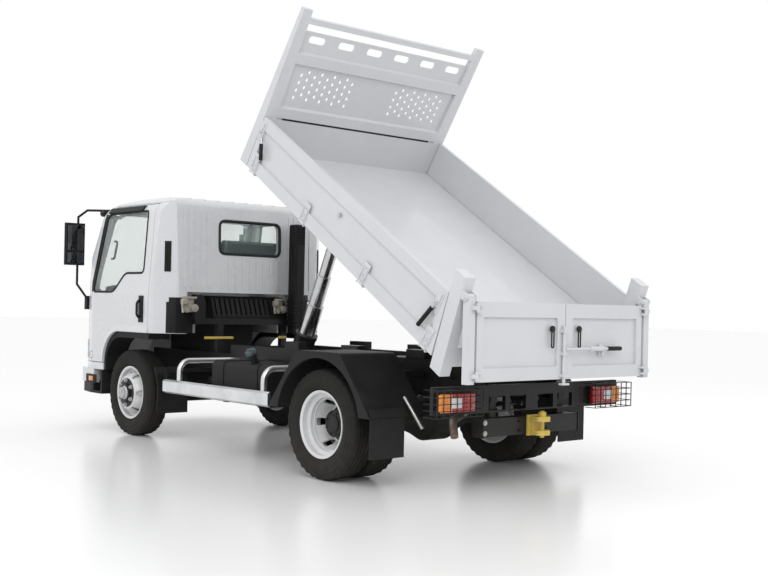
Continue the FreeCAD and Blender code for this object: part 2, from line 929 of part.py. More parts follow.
def ram_cradle():
    """Return the cheeks, bars and hangers that hold the cylinder's foot between the subframe rails."""
    inner = frame_half_width - subframe_width
    front_bar = ram_base_y - cradle_front
    rear_bar = ram_base_y + cradle_rear
    reach = frame_half_width - frame_flange
    low = ram_base_z + cradle_lift
    top = low + bar_width - 10.0
    pieces = []
    for side in (-1, 1):
        x = side * (ram_barrel_radius + cradle_gap)
        cheek = prism("x", [
            (front_bar, low),
            (ram_base_y - cheek_half, ram_base_z - cradle_lift),
            (ram_base_y, ram_base_z - cheek_bottom, 40.0),
            (ram_base_y + cheek_half, ram_base_z - cradle_lift),
            (rear_bar, low),
            (rear_bar, top),
            (front_bar, top),
        ], x - cradle_plate, x + cradle_plate)
        across = Vector(2.0 * cradle_plate, 0, 0)
        centre = Vector(x, ram_base_y, ram_base_z)
        pieces.append(cheek.cut(rod(centre - across, centre + across, ram_pin_radius + pin_clearance)))
        for y in (front_bar, rear_bar - bar_width):
            hanger = min(side * (reach - cradle_plate), side * reach)
            pieces.append(block(hanger, hanger + cradle_plate, y, y + bar_width, low - 10.0, rail_top + 30.0))
            ends = sorted((side * (reach - cradle_plate), side * (inner + 2.0)))
            pieces.append(block(ends[0], ends[1], y, y + bar_width, rail_top + 20.0, rail_top + 30.0))
    for y in (front_bar, rear_bar - bar_width):
        pieces.append(block(-reach, reach, y, y + bar_width, low - 10.0, top))
    return pieces


# Cylinder

def ram_ends():
    """Return the base, the eye when tipped and the eye when lowered."""
    base = Vector(0, ram_base_y, ram_base_z)
    raised = bed_point(ram_eye_distance, ram_eye_height)
    lowered = Vector(0, pivot_y - ram_eye_distance, pivot_z + ram_eye_height)
    return base, raised, lowered


def lathe(points, base, line):
    """Turn an outline of (radius, distance) points about a line from a base point."""
    face = Part.Face(Part.makePolygon([Vector(r, 0, d) for r, d in points + points[:1]]))
    shape = face.revolve(Vector(0, 0, 0), Vector(0, 0, 1), 360)
    shape.Placement = FreeCAD.Placement(base, FreeCAD.Rotation(Vector(0, 0, 1), line))
    return shape


def ram():
    """Barrel and stages of the telescopic cylinder, extended to the tipped bed."""
    base, raised, lowered = ram_ends()
    line = (raised - base).normalize()
    length = (raised - base).Length
    closed = (lowered - base).Length
    stroke = (length - closed) / ram_stage_count
    barrel_top = closed - ram_head_room
    bottom = ram_foot_radius - ram_foot_sink
    bore = ram_barrel_radius - ram_wall
    collar = ram_barrel_radius + ram_collar
    body = lathe([
        (0.0, ram_start), (ram_barrel_radius, ram_start), (ram_barrel_radius, barrel_top - ram_collar_height),
        (collar, barrel_top - ram_collar_height + 4.0), (collar, barrel_top),
        (bore, barrel_top), (bore, bottom), (0.0, bottom),
    ], base, line)
    foot = Vector(ram_barrel_radius - ram_pin_radius - 7.0, 0, 0)
    reach = Vector(ram_barrel_radius + cradle_gap + 1.5 * cradle_plate, 0, 0)
    keep = lathe([(0.0, bottom), (bore, bottom), (bore, barrel_top), (0.0, barrel_top)], base, line)
    pins = rod(base - reach, base + reach, ram_pin_radius)
    shapes = [join([body, rod(base - foot, base + foot, ram_foot_radius), pins]).cut(keep)]
    for index in range(ram_stage_count):
        radius = bore - seat_gap - ram_stage_step * index
        inside = bore - ram_stage_step * (index + 1)
        low = bottom + ram_floor_gap + ram_floor * index + stroke * (index + 1)
        high = barrel_top + ram_rise * (index + 1) + stroke * (index + 1)
        plate = low + ram_floor - ram_floor_gap
        if index < ram_stage_count - 1:
            outline = [(0.0, low), (radius, low), (radius, high), (inside, high), (inside, plate), (0.0, plate)]
            shapes.append(lathe(outline, base, line))
            continue
        neck = radius - ram_floor
        stage = lathe([
            (0.0, low), (radius, low), (radius, high), (neck, high + ram_floor), (neck, length), (0.0, length),
        ], base, line)
        half = Vector(ear_inner - 10.0, 0, 0)
        head = rod(raised - half, raised + half, ram_eye_radius)
        hole = rod(raised - 2.0 * half, raised + 2.0 * half, ram_eye_bore)
        shapes.append(join([stage, head]).cut(hole))
    return shapes


# Bed

def rear_line(up):
    """Return how far behind the pivot the canted tail of the bed lies at a height."""
    return bed_tail - (up - side_rail_depth) * math.tan(math.radians(rear_cant))


def board_hinges():
    """Return the hinge places along the sideboards on the lowered bed."""
    front = pivot_y - bed_length + running_gap
    rear = pivot_y + rear_line(side_rail_depth) - pillar_depth - running_gap
    return [front + (rear - front) * share for share in hinge_shares]


def bed_floor():
    """Floor plate with side rails, crossmembers, beams and pivot lugs."""
    front_y = pivot_y - bed_length
    under = pivot_z + floor_top - floor_thickness
    top = pivot_z + floor_top
    low = pivot_z + side_rail_depth
    beam_low = pivot_z + beam_bottom
    beam_high = beam_low + beam_height
    tail_low = pivot_y + rear_line(side_rail_depth)
    tail_high = pivot_y + rear_line(floor_top)
    half = bed_half_width - seat_gap
    plate = prism("x", [(front_y, under), (tail_high, under), (tail_high, top), (front_y, top)], -half, half)
    sill_in = tail_low - sill_depth
    sill = prism("x", [(sill_in, low), (tail_low, low), (tail_high, top), (sill_in, top)], -half, half)
    pieces = [plate, sill]
    rail = prism("x", [(front_y, low), (tail_low, low), (tail_high, top), (front_y, top)],
                 half - side_rail_width, half)
    beam = block(frame_half_width - beam_width, frame_half_width, front_y + beam_setback, sill_in + 1.0,
                 beam_low, beam_high)
    pieces += both_sides(rail).Solids + both_sides(beam).Solids + both_sides(pivot_lug()).Solids
    run = bed_length - 2.0 * beam_setback - cross_width
    for index in range(cross_count):
        y = front_y + beam_setback + run * index / (cross_count - 1)
        pieces.append(block(-half + side_rail_width - root_overlap, half - side_rail_width + root_overlap, y,
                            y + cross_width, beam_high, under))
    pieces += board_hinge_cheeks() + ram_ears()
    floor = join(pieces)
    notch = pillar_post(seat_gap, running_gap)
    return tipped(floor.cut([notch, mirrored(notch)]))


def pivot_lug():
    """Left lug that hangs under the bed's beam and turns on the subframe's pivot bar."""
    beam_high = pivot_z + beam_bottom + beam_height
    middle = frame_half_width + lug_offset
    half = lug_thickness / 2.0
    eye = lug_eye_radius
    lug = prism("x", [
        (pivot_y - 3.5 * eye, beam_high),
        (pivot_y - 0.65 * eye, pivot_z - 0.45 * eye),
        (pivot_y, pivot_z - eye, 30.0),
        (pivot_y + 0.87 * eye, pivot_z - 0.35 * eye, 20.0),
        (pivot_y + 1.3 * eye, beam_high),
    ], middle - half, middle + half)
    bore = rod(Vector(middle - lug_thickness, pivot_y, pivot_z), Vector(middle + lug_thickness, pivot_y, pivot_z),
               pivot_radius + pin_clearance)
    lug = lug.cut(bore)
    gusset = block(frame_half_width - root_overlap, middle, pivot_y - 1.3 * eye, pivot_y + 1.3 * eye,
                   beam_high - lug_thickness, beam_high)
    return join([lug, gusset])


def board_hinge_cheeks():
    """Return the cheeks on the floor's sides between which the dropside hinges turn."""
    axis_z = pivot_z + side_rail_depth + board_lift
    outer = side_x + cheek_reach
    cheeks = []
    for y in board_hinges():
        for low in (y - hinge_half - seat_gap - cheek_width, y + hinge_half + seat_gap):
            cheek = block(bed_half_width - root_overlap, outer, low, low + cheek_width, axis_z - cheek_drop,
                          axis_z - board_lift)
            cheeks += [cheek, mirrored(cheek)]
    return cheeks


def ram_ears():
    """Return the doubler and the two ears under the floor that hold the cylinder's eye."""
    under = pivot_z + floor_top - floor_thickness
    eye_y = pivot_y - ram_eye_distance
    eye_z = pivot_z + ram_eye_height
    half = ram_eye_radius + 8.0
    low = eye_z - ram_eye_radius + 2.0
    ear = prism("x", [
        (eye_y - 1.5 * half, under), (eye_y - half, low, 30.0), (eye_y + half, low, 30.0), (eye_y + 1.5 * half, under),
    ], ear_inner, ear_inner + ear_thickness)
    outer = ear_inner + ear_thickness
    head = rod(Vector(outer - 2.0, eye_y, eye_z), Vector(outer + 10.0, eye_y, eye_z), ram_eye_radius - 10.0)
    doubler = block(-doubler_half, doubler_half, eye_y - doubler_half, eye_y + doubler_half, under - 13.0, under + 1.0)
    return [doubler, ear, head, mirrored(ear), mirrored(head)]


def pillar_post(grow, ahead):
    """Left rear corner post on the lowered bed, grown by gaps round it and ahead of it for its notch."""
    side = side_x
    low = pivot_z + pillar_low
    top = pivot_z + pillar_top
    tail_low = pivot_y + rear_line(pillar_low)
    tail_top = pivot_y + rear_line(pillar_top)
    return prism("x", [
        (tail_low - pillar_depth - ahead, low),
        (tail_low + grow, low),
        (tail_top + grow, top),
        (tail_top - pillar_depth - ahead, top),
    ], side - pillar_width - grow, side + grow)


def pillars():
    """Rear corner pillars with the lugs from which the tailgate hangs."""
    side = side_x
    pivot = gate_pivot_lowered()
    pieces = [pillar_post(0.0, 0.0)]
    eye = gate_lug_radius
    for x in (side - pillar_width + gate_lug_inset, side - gate_lug_inset - gate_lug_width):
        lug = prism("x", [
            (pivot.y - gate_lug_root, pivot.z - eye),
            (pivot.y + 0.4 * eye, pivot.z - eye, 12.0),
            (pivot.y + eye, pivot.z, 12.0),
            (pivot.y + 0.45 * eye, pivot.z + eye, 12.0),
            (pivot.y - gate_lug_root, pivot.z + eye),
        ], x, x + gate_lug_width)
        pieces.append(lug)
    bore = rod(Vector(side - pillar_width - gate_lug_width, pivot.y, pivot.z),
               Vector(side + gate_lug_width, pivot.y, pivot.z), gate_pin_radius + pin_clearance)
    return tipped(both_sides(join(pieces).cut(bore)))


def gate_pivot_lowered():
    """Return the tailgate's hinge axis on the lowered bed."""
    cant = math.radians(rear_cant)
    back = gate_post_width / 2.0 + running_gap
    y = pivot_y + rear_line(gate_pivot_height) + back * math.cos(cant)
    z = pivot_z + gate_pivot_height + back * math.sin(cant)
    return Vector(0, y, z)


def gate_pivot():
    """Return the tailgate's hinge axis on the tipped bed."""
    point = gate_pivot_lowered()
    return bed_point(pivot_y - point.y, point.z - pivot_z)


def post_inner(up):
    """Return how far the inner edge of a headboard post lies from the middle at a height."""
    share = (up - side_rail_depth) / (headboard_top - side_rail_depth)
    width = post_width_low + (post_width_top - post_width_low) * share
    return side_x - width


def headboard_frame():
    """Tapering posts and the top rail of the headboard."""
    back = pivot_y - bed_length
    low = pivot_z + side_rail_depth
    top = pivot_z + headboard_top
    half = side_x
    side = prism("x", [
        (back - post_depth_low, low), (back, low), (back, top), (back - post_depth_top, top),
    ], half - post_width_low - root_overlap, half)
    front = prism("y", [
        (half - post_width_low, low), (half, low), (half, top), (half - post_width_top, top),
    ], back - post_depth_low - root_overlap, back + root_overlap)
    post = side.common(front)
    reach = post_inner(top_rail_low) + root_overlap
    rail = block(-reach, reach, back - post_depth_top, back, pivot_z + top_rail_low, pivot_z + top_rail_top)
    return tipped(join([post, mirrored(post), rail]))


def headboard_panel():
    """Pressed sheet between the posts, with its slots, its perforations and the seam over the bed's front."""
    back = pivot_y - bed_length
    face = back - sheet_recess
    profile = [
        (back, side_rail_depth), (back, foot_band_top), (face, foot_band_top + sheet_slope),
        (face, ledge_low - sheet_slope), (back, ledge_low), (back, ledge_top),
        (face, ledge_top + sheet_slope), (face, strip_top),
    ]
    outer = [(y, pivot_z + up) for y, up in profile]
    inner = [(y - sheet_thickness, z) for y, z in reversed(outer)]
    flange = prism("x", [
        (back - post_depth_top, pivot_z + strip_top - sheet_thickness), (face, pivot_z + strip_top - sheet_thickness),
        (face, pivot_z + strip_top), (back - post_depth_top, pivot_z + strip_top),
    ], -bed_half_width, bed_half_width)
    backing = block(-bed_half_width, bed_half_width, back - post_depth_top, back - sheet_thickness + 1.0,
                    pivot_z + board_top - backing_half, pivot_z + board_top + backing_half)
    sheet = join([prism("x", outer + inner, -bed_half_width, bed_half_width), flange, backing])
    low_half = post_inner(side_rail_depth) - seat_gap
    top_half = post_inner(strip_top) - seat_gap
    sheet = sheet.common(prism("y", [
        (-low_half, pivot_z + side_rail_depth), (low_half, pivot_z + side_rail_depth),
        (top_half, pivot_z + strip_top), (-top_half, pivot_z + strip_top),
    ], back - post_depth_low, back + 1.0))
    seam = block(-bed_half_width, bed_half_width, back - seam_depth, back + 1.0,
                 pivot_z + board_top - seam_height / 2.0, pivot_z + board_top + seam_height / 2.0)
    notch = block(-ram_notch_half, ram_notch_half, back - post_depth_low, back + 1.0,
                  pivot_z + side_rail_depth - 1.0, pivot_z + ram_notch_top)
    return tipped(sheet.cut([seam, notch] + headboard_slots() + headboard_holes()))


def headboard_slots():
    """Return cutters for the rounded slots along the top of the panel."""
    back = pivot_y - bed_length
    inner = post_inner(slot_level)
    level = pivot_z + slot_level
    corner = slot_half_height - 3.0
    slots = []
    for index in range(slot_count):
        x = inner * (2.0 * (index + 0.5) / slot_count - 1.0)
        slots.append(prism("y", [
            (x - slot_half, level - slot_half_height, corner),
            (x + slot_half, level - slot_half_height, corner),
            (x + slot_half, level + slot_half_height, corner),
            (x - slot_half, level + slot_half_height, corner),
        ], back - post_depth_low, back + 1.0))
    return slots


def headboard_holes():
    """Return cutters for the two staggered groups of diamond holes."""
    back = pivot_y - bed_length
    holes = []
    for side in (-1, 1):
        for column in range(hole_columns):
            x = side * hole_group_x + (column - (hole_columns - 1) / 2.0) * hole_pitch
            for row in range(hole_rows):
                z = pivot_z + hole_low + (row + 0.5 * (column % 2)) * hole_pitch
                holes.append(prism("y", [
                    (x - hole_half_width, z), (x, z - hole_half_height),
                    (x + hole_half_width, z), (x, z + hole_half_height),
                ], back - post_depth_low, back + 1.0))
    return holes


def sideboard():
    """Left dropside: framed panel with rails, hinges along its foot and end latches."""
    z0 = pivot_z
    low = z0 + side_rail_depth + board_lift
    top = z0 + board_top
    x0 = bed_half_width + running_gap
    x1 = side_x
    front = pivot_y - bed_length + running_gap
    relief = board_thickness * math.tan(math.radians(rear_cant))
    rear_low = pivot_y + rear_line(side_rail_depth) - pillar_depth - running_gap - relief
    rear_top = pivot_y + rear_line(board_top) - pillar_depth - running_gap
    board = prism("x", [(front, low), (rear_low, low), (rear_top, top), (front, top)], x0, x1)
    recess = prism("x", [
        (front + board_stile, low + board_foot, 8.0), (rear_low - board_stile - 10.0, low + board_foot, 8.0),
        (rear_top - board_stile, top - board_head, 8.0), (front + board_stile, top - board_head, 8.0),
    ], x1 - board_recess, x1 + root_overlap)
    board = board.cut(recess)
    pieces = [board]
    for y in board_hinges():
        pieces.append(rod(Vector(x1, y - hinge_half, low), Vector(x1, y + hinge_half, low), hinge_radius))
    half = latch_width / 2.0
    for y in (front + latch_width, rear_top - latch_width - 8.0):
        pieces.append(block(x1 - 1.0, x1 + half, y - half, y + half, top - latch_drop - latch_height, top - latch_drop))
    return tipped(join(pieces))


# Tailgate

def gate_posts():
    """Two hanging posts with eyes at the pillar lugs."""
    pivot = gate_pivot()
    side = side_x
    clear = gate_lug_inset + gate_lug_width + gate_lug_inset
    outer = side - clear
    inner = side - pillar_width + clear
    half = gate_post_width / 2.0
    bottom = pivot.z - gate_drop - gate_height - gate_lug_width
    post = block(inner, outer, pivot.y - half, pivot.y + half, bottom, pivot.z)
    eye = rod(Vector(inner, pivot.y, pivot.z), Vector(outer, pivot.y, pivot.z), 2.0 * gate_pin_radius)
    pin = rod(Vector(side - pillar_width - gate_pin_overhang, pivot.y, pivot.z),
              Vector(side + gate_pin_overhang, pivot.y, pivot.z), gate_pin_radius)
    post = join([post, eye, pin])
    hinge = leaf_hinge()
    tall = knuckle_height
    for z in leaf_hinge_levels():
        lug = block(hinge.x, inner + lug_reach, pivot.y + half - 1.0, hinge.y + knuckle_radius - 4.0, z - tall, z + tall)
        eye = rod(Vector(hinge.x, hinge.y, z - tall), Vector(hinge.x, hinge.y, z + tall), knuckle_radius)
        post = post.fuse([lug, eye])
    return both_sides(post.removeSplitter())


def leaf_hinge():
    """Return the vertical hinge axis of the left leaf."""
    pivot = gate_pivot()
    inner = side_x - pillar_width + 2.0 * gate_lug_inset + gate_lug_width
    return Vector(inner - 4.0, pivot.y + gate_post_width / 2.0 + 1.5 * knuckle_radius, pivot.z)


def leaf_hinge_levels():
    """Return the heights of the two hinges of a leaf."""
    top = gate_pivot().z - gate_drop
    return [top - leaf_hinge_inset, top - gate_height + leaf_hinge_inset]


def gate_leaf():
    """Left leaf: framed panel with a recess and its hinge knuckles."""
    pivot = gate_pivot()
    half = gate_thickness / 2.0
    hinge = leaf_hinge()
    outer = hinge.x - leaf_edge
    inner = leaf_gap / 2.0
    top = pivot.z - gate_drop
    bottom = top - gate_height
    y0 = pivot.y - half
    y1 = pivot.y + half
    frame = block(inner, outer, y0, y1, bottom, top)
    recess = prism("y", [
        (inner + leaf_stile + 15.0, bottom + leaf_foot, 8.0), (outer - leaf_stile, bottom + leaf_foot, 8.0),
        (outer - leaf_stile, top - leaf_head, 8.0), (inner + leaf_stile + 15.0, top - leaf_head, 8.0),
    ], y1 - leaf_recess, y1 + root_overlap)
    pieces = [frame.cut(recess)]
    tall = knuckle_height
    for z in leaf_hinge_levels():
        for low in (z - 2.0 * tall - seat_gap, z + tall + seat_gap):
            pieces.append(rod(Vector(hinge.x, hinge.y, low), Vector(hinge.x, hinge.y, low + tall), knuckle_radius))
            pieces.append(block(hinge.x - leaf_hinge_inset, hinge.x, y1 - 1.0, hinge.y + 4.0, low, low + tall))
    return join(pieces)


def gate_lock():
    """Locking bar with its foot, lever and guides on the left leaf's free edge."""
    pivot = gate_pivot()
    face = pivot.y + gate_thickness / 2.0
    top = pivot.z - gate_drop
    bottom = top - gate_height
    x = leaf_gap / 2.0 + 2.0 * lock_radius
    y = face + lock_standoff
    pieces = [rod(Vector(x, y, bottom - 30.0), Vector(x, y, top - lock_drop), lock_radius)]
    for z in (bottom + 25.0, bottom + 170.0, top - lock_drop - 30.0):
        pieces.append(block(x - guide_half, x + guide_half, face + seat_gap, face + 30.0, z - lock_radius,
                            z + lock_radius))
    lever = Vector(x, y + lever_standoff, bottom + lever_level)
    pieces.append(rod(lever, lever - Vector(lever_length, 0, 0), lever_radius))
    pieces.append(rod(lever - Vector(lever_length - 80.0, 0, 0), lever - Vector(lever_length + 60.0, 0, 0), grip_radius))
    pieces.append(block(x - lock_foot_half, x + lock_foot_half, y - 14.0, y + 22.0, bottom - 38.0, bottom - 26.0))
    return join(pieces)


# Cab

def cab_side_outline(inset):
    """Return the cab's outline seen from the side, drawn in by an inset, with the wheel arch below."""
    return [
        (cab_rear - inset, arch_top),
        (cab_rear - inset, belt_line, 800.0),
        (cab_rear - back_lean - inset, cab_roof - roof_fall - inset, 70.0),
        (cab_rear - roof_crest, cab_roof - inset, 900.0),
        (cab_nose + screen_lean + inset * screen_inset_share, cab_roof - brow_fall - inset, 120.0),
        (cab_nose + screen_foot + inset, belt_line - 10.0, 60.0),
        (cab_nose + inset, cab_sill + nose_rise, 200.0),
        (cab_nose + nose_tuck + inset, cab_sill),
        (arch_front, cab_sill),
        (arch_front, arch_top, arch_corner),
    ]


def cab_sections(inset, side_inset):
    """Return the cab's volume as its front view and its plan bound it."""
    half = cab_half_width - side_inset
    top_half = half - side_lean
    top = cab_roof - inset
    gutter = cab_roof - gutter_fall - side_inset * 0.4
    right = [
        (half, belt_line), (top_half + 8.0, gutter, 150.0), (top_half - roof_shoulder, top - crown_fall, 200.0),
    ]
    left = [(-corner[0],) + corner[1:] for corner in reversed(right)]
    base = [(-half, cab_sill - 50.0), (half, cab_sill - 50.0)]
    front = prism("y", base + right + [(0.0, top + 4.0, 4000.0)] + left, cab_nose - 200.0, cab_rear + 200.0)
    return front.common(prism("z", cab_plan(half, inset), cab_sill - 60.0, cab_roof + 200.0))


def cab_plan(half, inset):
    """Return the cab's outline from above at a half width, with its ends drawn in by an inset."""
    right = [
        (half - back_corner, cab_rear - inset, 60.0), (half, cab_rear - back_corner, 80.0),
        (half, cab_nose + nose_corner, 300.0), (half - 90.0, cab_nose + nose_shoulder + inset, 130.0),
        (half - nose_flat, cab_nose + inset, 500.0),
    ]
    return right + [(-corner[0],) + corner[1:] for corner in reversed(right)]


def cab_body(inset, side_inset):
    """Return the closed volume of the cab, drawn in at its ends and at its sides."""
    wide = cab_half_width + 10.0
    side = prism("x", cab_side_outline(inset), -wide, wide)
    return side.common(cab_sections(inset, side_inset))


def door_outline(gap):
    """Return the door's outline from the side, grown by a gap."""
    return [
        (door_front - gap, door_low - gap, 20.0),
        (arch_front + gap, door_low - gap),
        (arch_front + gap, arch_top - gap, arch_corner),
        (door_rear + gap, arch_top - gap),
        (door_rear + gap, door_top + gap, 40.0),
        (door_front + door_lean - gap, door_top + gap, 60.0),
        (door_front - gap, belt_line + sill_rise, 60.0),
    ]


def window_outline(inset):
    """Return the side window's outline, drawn in by an inset."""
    low = belt_line + sill_rise + inset
    step = belt_line + window_step + inset
    top = door_top - window_head - inset
    rear = door_rear - window_post - inset
    return [
        (door_front + window_front_foot + inset, low, 20.0),
        (door_front + window_dip_end, low, 60.0),
        (door_front + window_step_start, step, 60.0),
        (rear, step, 40.0),
        (rear, top, 50.0),
        (door_front + window_front_head + inset, top, 40.0),
    ]


def windscreen_outline(inset):
    """Return the windscreen's outline from the front, drawn in by an inset."""
    low = belt_line + screen_low + inset
    top = cab_roof - screen_top - inset
    foot = cab_half_width - screen_post - inset
    head = foot - side_lean + 2.0
    return [(-foot, low, 70.0), (foot, low, 70.0), (head, top, 90.0), (-head, top, 90.0)]


def rear_window_outline(inset):
    """Return the rear window's outline, drawn in by an inset."""
    half = rear_window_half - inset
    low = rear_window_low + inset
    top = rear_window_top - inset
    return [(-half, low, 60.0), (half, low, 60.0), (half, top, 60.0), (-half, top, 60.0)]


def cab_parts():
    """Return the hollow shell, left door, its pane and the two fixed panes."""
    outer = cab_body(skin_inset, skin_inset)
    inner = cab_body(cab_wall, cab_wall)
    wide = cab_half_width + 50.0
    rear = cab_rear + 50.0
    nose = cab_nose - 50.0
    cabin = inner.common(block(-wide, wide, nose, rear, cab_floor_top, cab_roof))
    for half, front, top in ((tunnel_half, tunnel_front, tunnel_top), (engine_bay_half, engine_bay_front, engine_bay_top)):
        cover = half + floor_depth
        cabin = cabin.cut(block(-cover, cover, front - floor_depth, rear, 0.0, top + floor_depth))
    under = inner.common(block(-wide, wide, nose, arch_front - floor_depth, 0.0, cab_floor_top - floor_depth))
    tunnel = block(-tunnel_half, tunnel_half, tunnel_front, rear, 0.0, tunnel_top)
    bay = block(-engine_bay_half, engine_bay_half, engine_bay_front, rear, 0.0, engine_bay_top)
    reach = frame_half_width + rail_passage
    passage = block(-reach, reach, arch_front - floor_depth - 1.0, arch_front + 1.0, 0.0, rail_top + rail_passage)
    shell = outer.cut(cabin).cut(under).cut(tunnel).cut(bay).cut(passage)
    door_hole = prism("x", door_outline(door_gap), door_hole_share * cab_half_width, wide)
    relief_end = door_front + hinge_relief_length
    for start, end, depth in ((nose, relief_end, hinge_relief), (relief_end, rear, sill_gap)):
        sill = cab_sections(0.0, cab_wall + depth).common(block(0.0, wide, start, end, 0.0, cab_floor_top))
        door_hole = door_hole.cut(sill)
    frames = [
        door_hole,
        mirrored(door_hole),
        prism("y", windscreen_outline(0.0), nose, cab_nose + screen_depth),
        prism("y", rear_window_outline(0.0), cab_rear - back_corner, rear),
    ]
    for frame in frames:
        shell = shell.cut(frame)
    core = cab_sections(0.0, cab_wall)
    door = outer.common(prism("x", door_outline(0.0), cab_half_width / 2.0, wide)).cut(core)
    door = door.cut(prism("x", window_outline(0.0), 0.0, wide))
    layer = cab_body(glass_inset, glass_inset)
    under_layer = cab_body(glass_inset + glass_thickness, glass_inset + glass_thickness)
    layer = layer.cut(under_layer)
    pane = layer.common(prism("x", window_outline(seat_gap), cab_half_width / 2.0, wide))
    screen = layer.common(prism("y", windscreen_outline(seat_gap), nose, cab_nose + screen_depth))
    back_pane = layer.common(prism("y", rear_window_outline(seat_gap), cab_rear - back_corner, rear))
    return shell, door, pane, screen, back_pane


def split_shell(shell):
    """Part the cab shell where its real panels meet: roof, back, front and floor."""
    wide = cab_half_width + 100.0
    nose = cab_nose - 100.0
    rear = cab_rear + 100.0
    roof_seam = door_top + door_gap
    back_seam = door_rear + door_gap
    front_seam = door_front + front_seam_inset
    header = shell.common(block(-wide, wide, front_seam, back_seam, rear_window_low, roof_seam))
    roof = join([shell.common(block(-wide, wide, nose, rear, roof_seam, cab_roof + 100.0)), header])
    back = shell.common(block(-wide, wide, back_seam, rear, 0.0, roof_seam))
    floor = shell.common(block(-wide, wide, front_seam, back_seam, 0.0, rear_window_low))
    front = shell.common(block(-wide, wide, nose, front_seam, 0.0, roof_seam))
    return roof, back, floor, front


def flare_section():
    """Return the raised lip's section over the top edge of the arch."""
    return [
        (cab_half_width - 2.0, arch_top), (cab_half_width + arch_flare, arch_top),
        (cab_half_width + arch_flare, arch_top + arch_flare),
        (cab_half_width - 2.0, arch_top + arch_flare_height),
    ]


def door_flare():
    """Raised lip round the wheel arch along the door's lower edge."""
    centre_y = arch_front + arch_corner
    centre_z = arch_top - arch_corner
    top = prism("y", flare_section(), centre_y - 1.0, door_rear)
    corners = [Vector(x, centre_y, z) for x, z in flare_section()]
    face = Part.Face(Part.makePolygon(corners + corners[:1]))
    bend = face.revolve(Vector(0, centre_y, centre_z), Vector(1, 0, 0), 90)
    return [top, bend]


def rear_flares():
    """Raised lips behind the doors on the cab's back corners."""
    lip = prism("y", flare_section(), door_rear + door_gap, cab_rear - back_corner - 40.0)
    return [lip, mirrored(lip)]


def back_swages():
    """Raised swages pressed into the cab's back panel."""
    low = belt_line + window_step - 120.0
    spots = []
    for index in range(side_swages):
        x = side_swage_x + side_swage_pitch * index
        spots += [(x, door_top - 50.0), (-x, door_top - 50.0)]
    for index in range(low_swages):
        spots.append((low_swage_pitch * (index - (low_swages - 1) / 2.0), rear_window_low - 50.0))
    half = swage_width / 2.0
    bars = [block(x - half, x + half, cab_rear - roof_fall, cab_rear + swage_width, low, top) for x, top in spots]
    return cab_body(-swage_height, -swage_height).common(Part.makeCompound(bars)).Solids


def roof_swages():
    """Raised swages across the rear of the roof."""
    half = swage_width / 2.0
    bars = []
    for index in range(roof_swage_count):
        x = roof_swage_pitch * (index - (roof_swage_count - 1) / 2.0)
        bars.append(block(x - half, x + half, cab_rear - roof_swage_front, cab_rear - roof_swage_rear,
                          cab_roof - brow_fall, cab_roof + swage_width))
    return cab_body(-swage_height, -swage_height).common(Part.makeCompound(bars)).Solids


# Pieces under and on the frame

def exhaust():
    """Downpipe, silencer and tailpipe on the left of the propeller shaft."""
    level = silencer_z + 20.0
    front = Vector(silencer_x, engine_rear + seat_gap, level)
    pipe = rod(front, Vector(silencer_x, silencer_front + 1.0, level), exhaust_radius)
    length = silencer_rear - silencer_front
    rim_edge_radius = silencer_radius - silencer_bevel
    silencer = lathe([
        (0.0, 0.0), (rim_edge_radius, 0.0), (silencer_radius, silencer_bevel), (silencer_radius, length - silencer_bevel),
        (rim_edge_radius, length), (0.0, length),
    ], Vector(silencer_x, silencer_front, silencer_z), Vector(0, 1, 0))
    x = silencer_x + 20.0
    low = silencer_z + 10.0
    tail = bent_tube([
        Vector(x, silencer_rear - 1.0, low),
        Vector(x, silencer_rear + 90.0, low),
        Vector(x, silencer_rear + 230.0, tailpipe_over),
        Vector(x, tailpipe_fall, tailpipe_over),
        Vector(x, 2.0 * tailpipe_fall, low),
        Vector(x + 40.0, 3.2 * tailpipe_fall, low),
        Vector(x + 340.0, 4.0 * tailpipe_fall, low - 40.0),
        Vector(x + 380.0, 4.3 * tailpipe_fall, low - 140.0),
    ], exhaust_radius, 60.0)
    hanger = block(silencer_x + 40.0, silencer_x + 100.0, silencer_front + 230.0, silencer_front + 270.0, silencer_z,
                   frame_bottom - seat_gap)
    return join([pipe, silencer, tail, hanger])


def side_tank(front, rear):
    """A rounded tank or case under the rail, with straps and brackets."""
    pieces = [prism("y", tank_section(0.0), front, rear)]
    for y in (front + strap_inset, rear - strap_inset - strap_width):
        pieces.append(prism("y", tank_section(strap_thickness), y, y + strap_width))
        pieces.append(block(frame_half_width + seat_gap, tank_inner, y, y + strap_width,
                            tank_low + tank_corner, tank_top - strap_thickness))
    return join(pieces)


def tank_section(grow):
    """Return a tank's rounded section, grown by the thickness of its straps."""
    corner = tank_corner + grow
    low = tank_low - grow
    top = tank_top + grow
    return [(tank_inner - grow, low, corner), (tank_outer + grow, low, corner),
            (tank_outer + grow, top, corner), (tank_inner - grow, top, corner)]


def fuel_tank():
    """Left fuel tank with its filler neck and cap."""
    tank = side_tank(tank_front, tank_rear)
    foot = Vector(tank_outer - 2.0 * tank_corner, tank_rear - filler_inset, tank_top - 20.0)
    neck = Vector(0.55 * filler_length, 0, 0.83 * filler_length)
    return join([tank, rod(foot, foot + neck, cap_radius - 10.0), rod(foot + neck * 0.83, foot + neck * 1.3, cap_radius)])


def battery_box():
    """Right battery and air-tank case."""
    return mirrored(side_tank(tank_front - battery_shift, tank_rear - 2.0 * battery_shift))


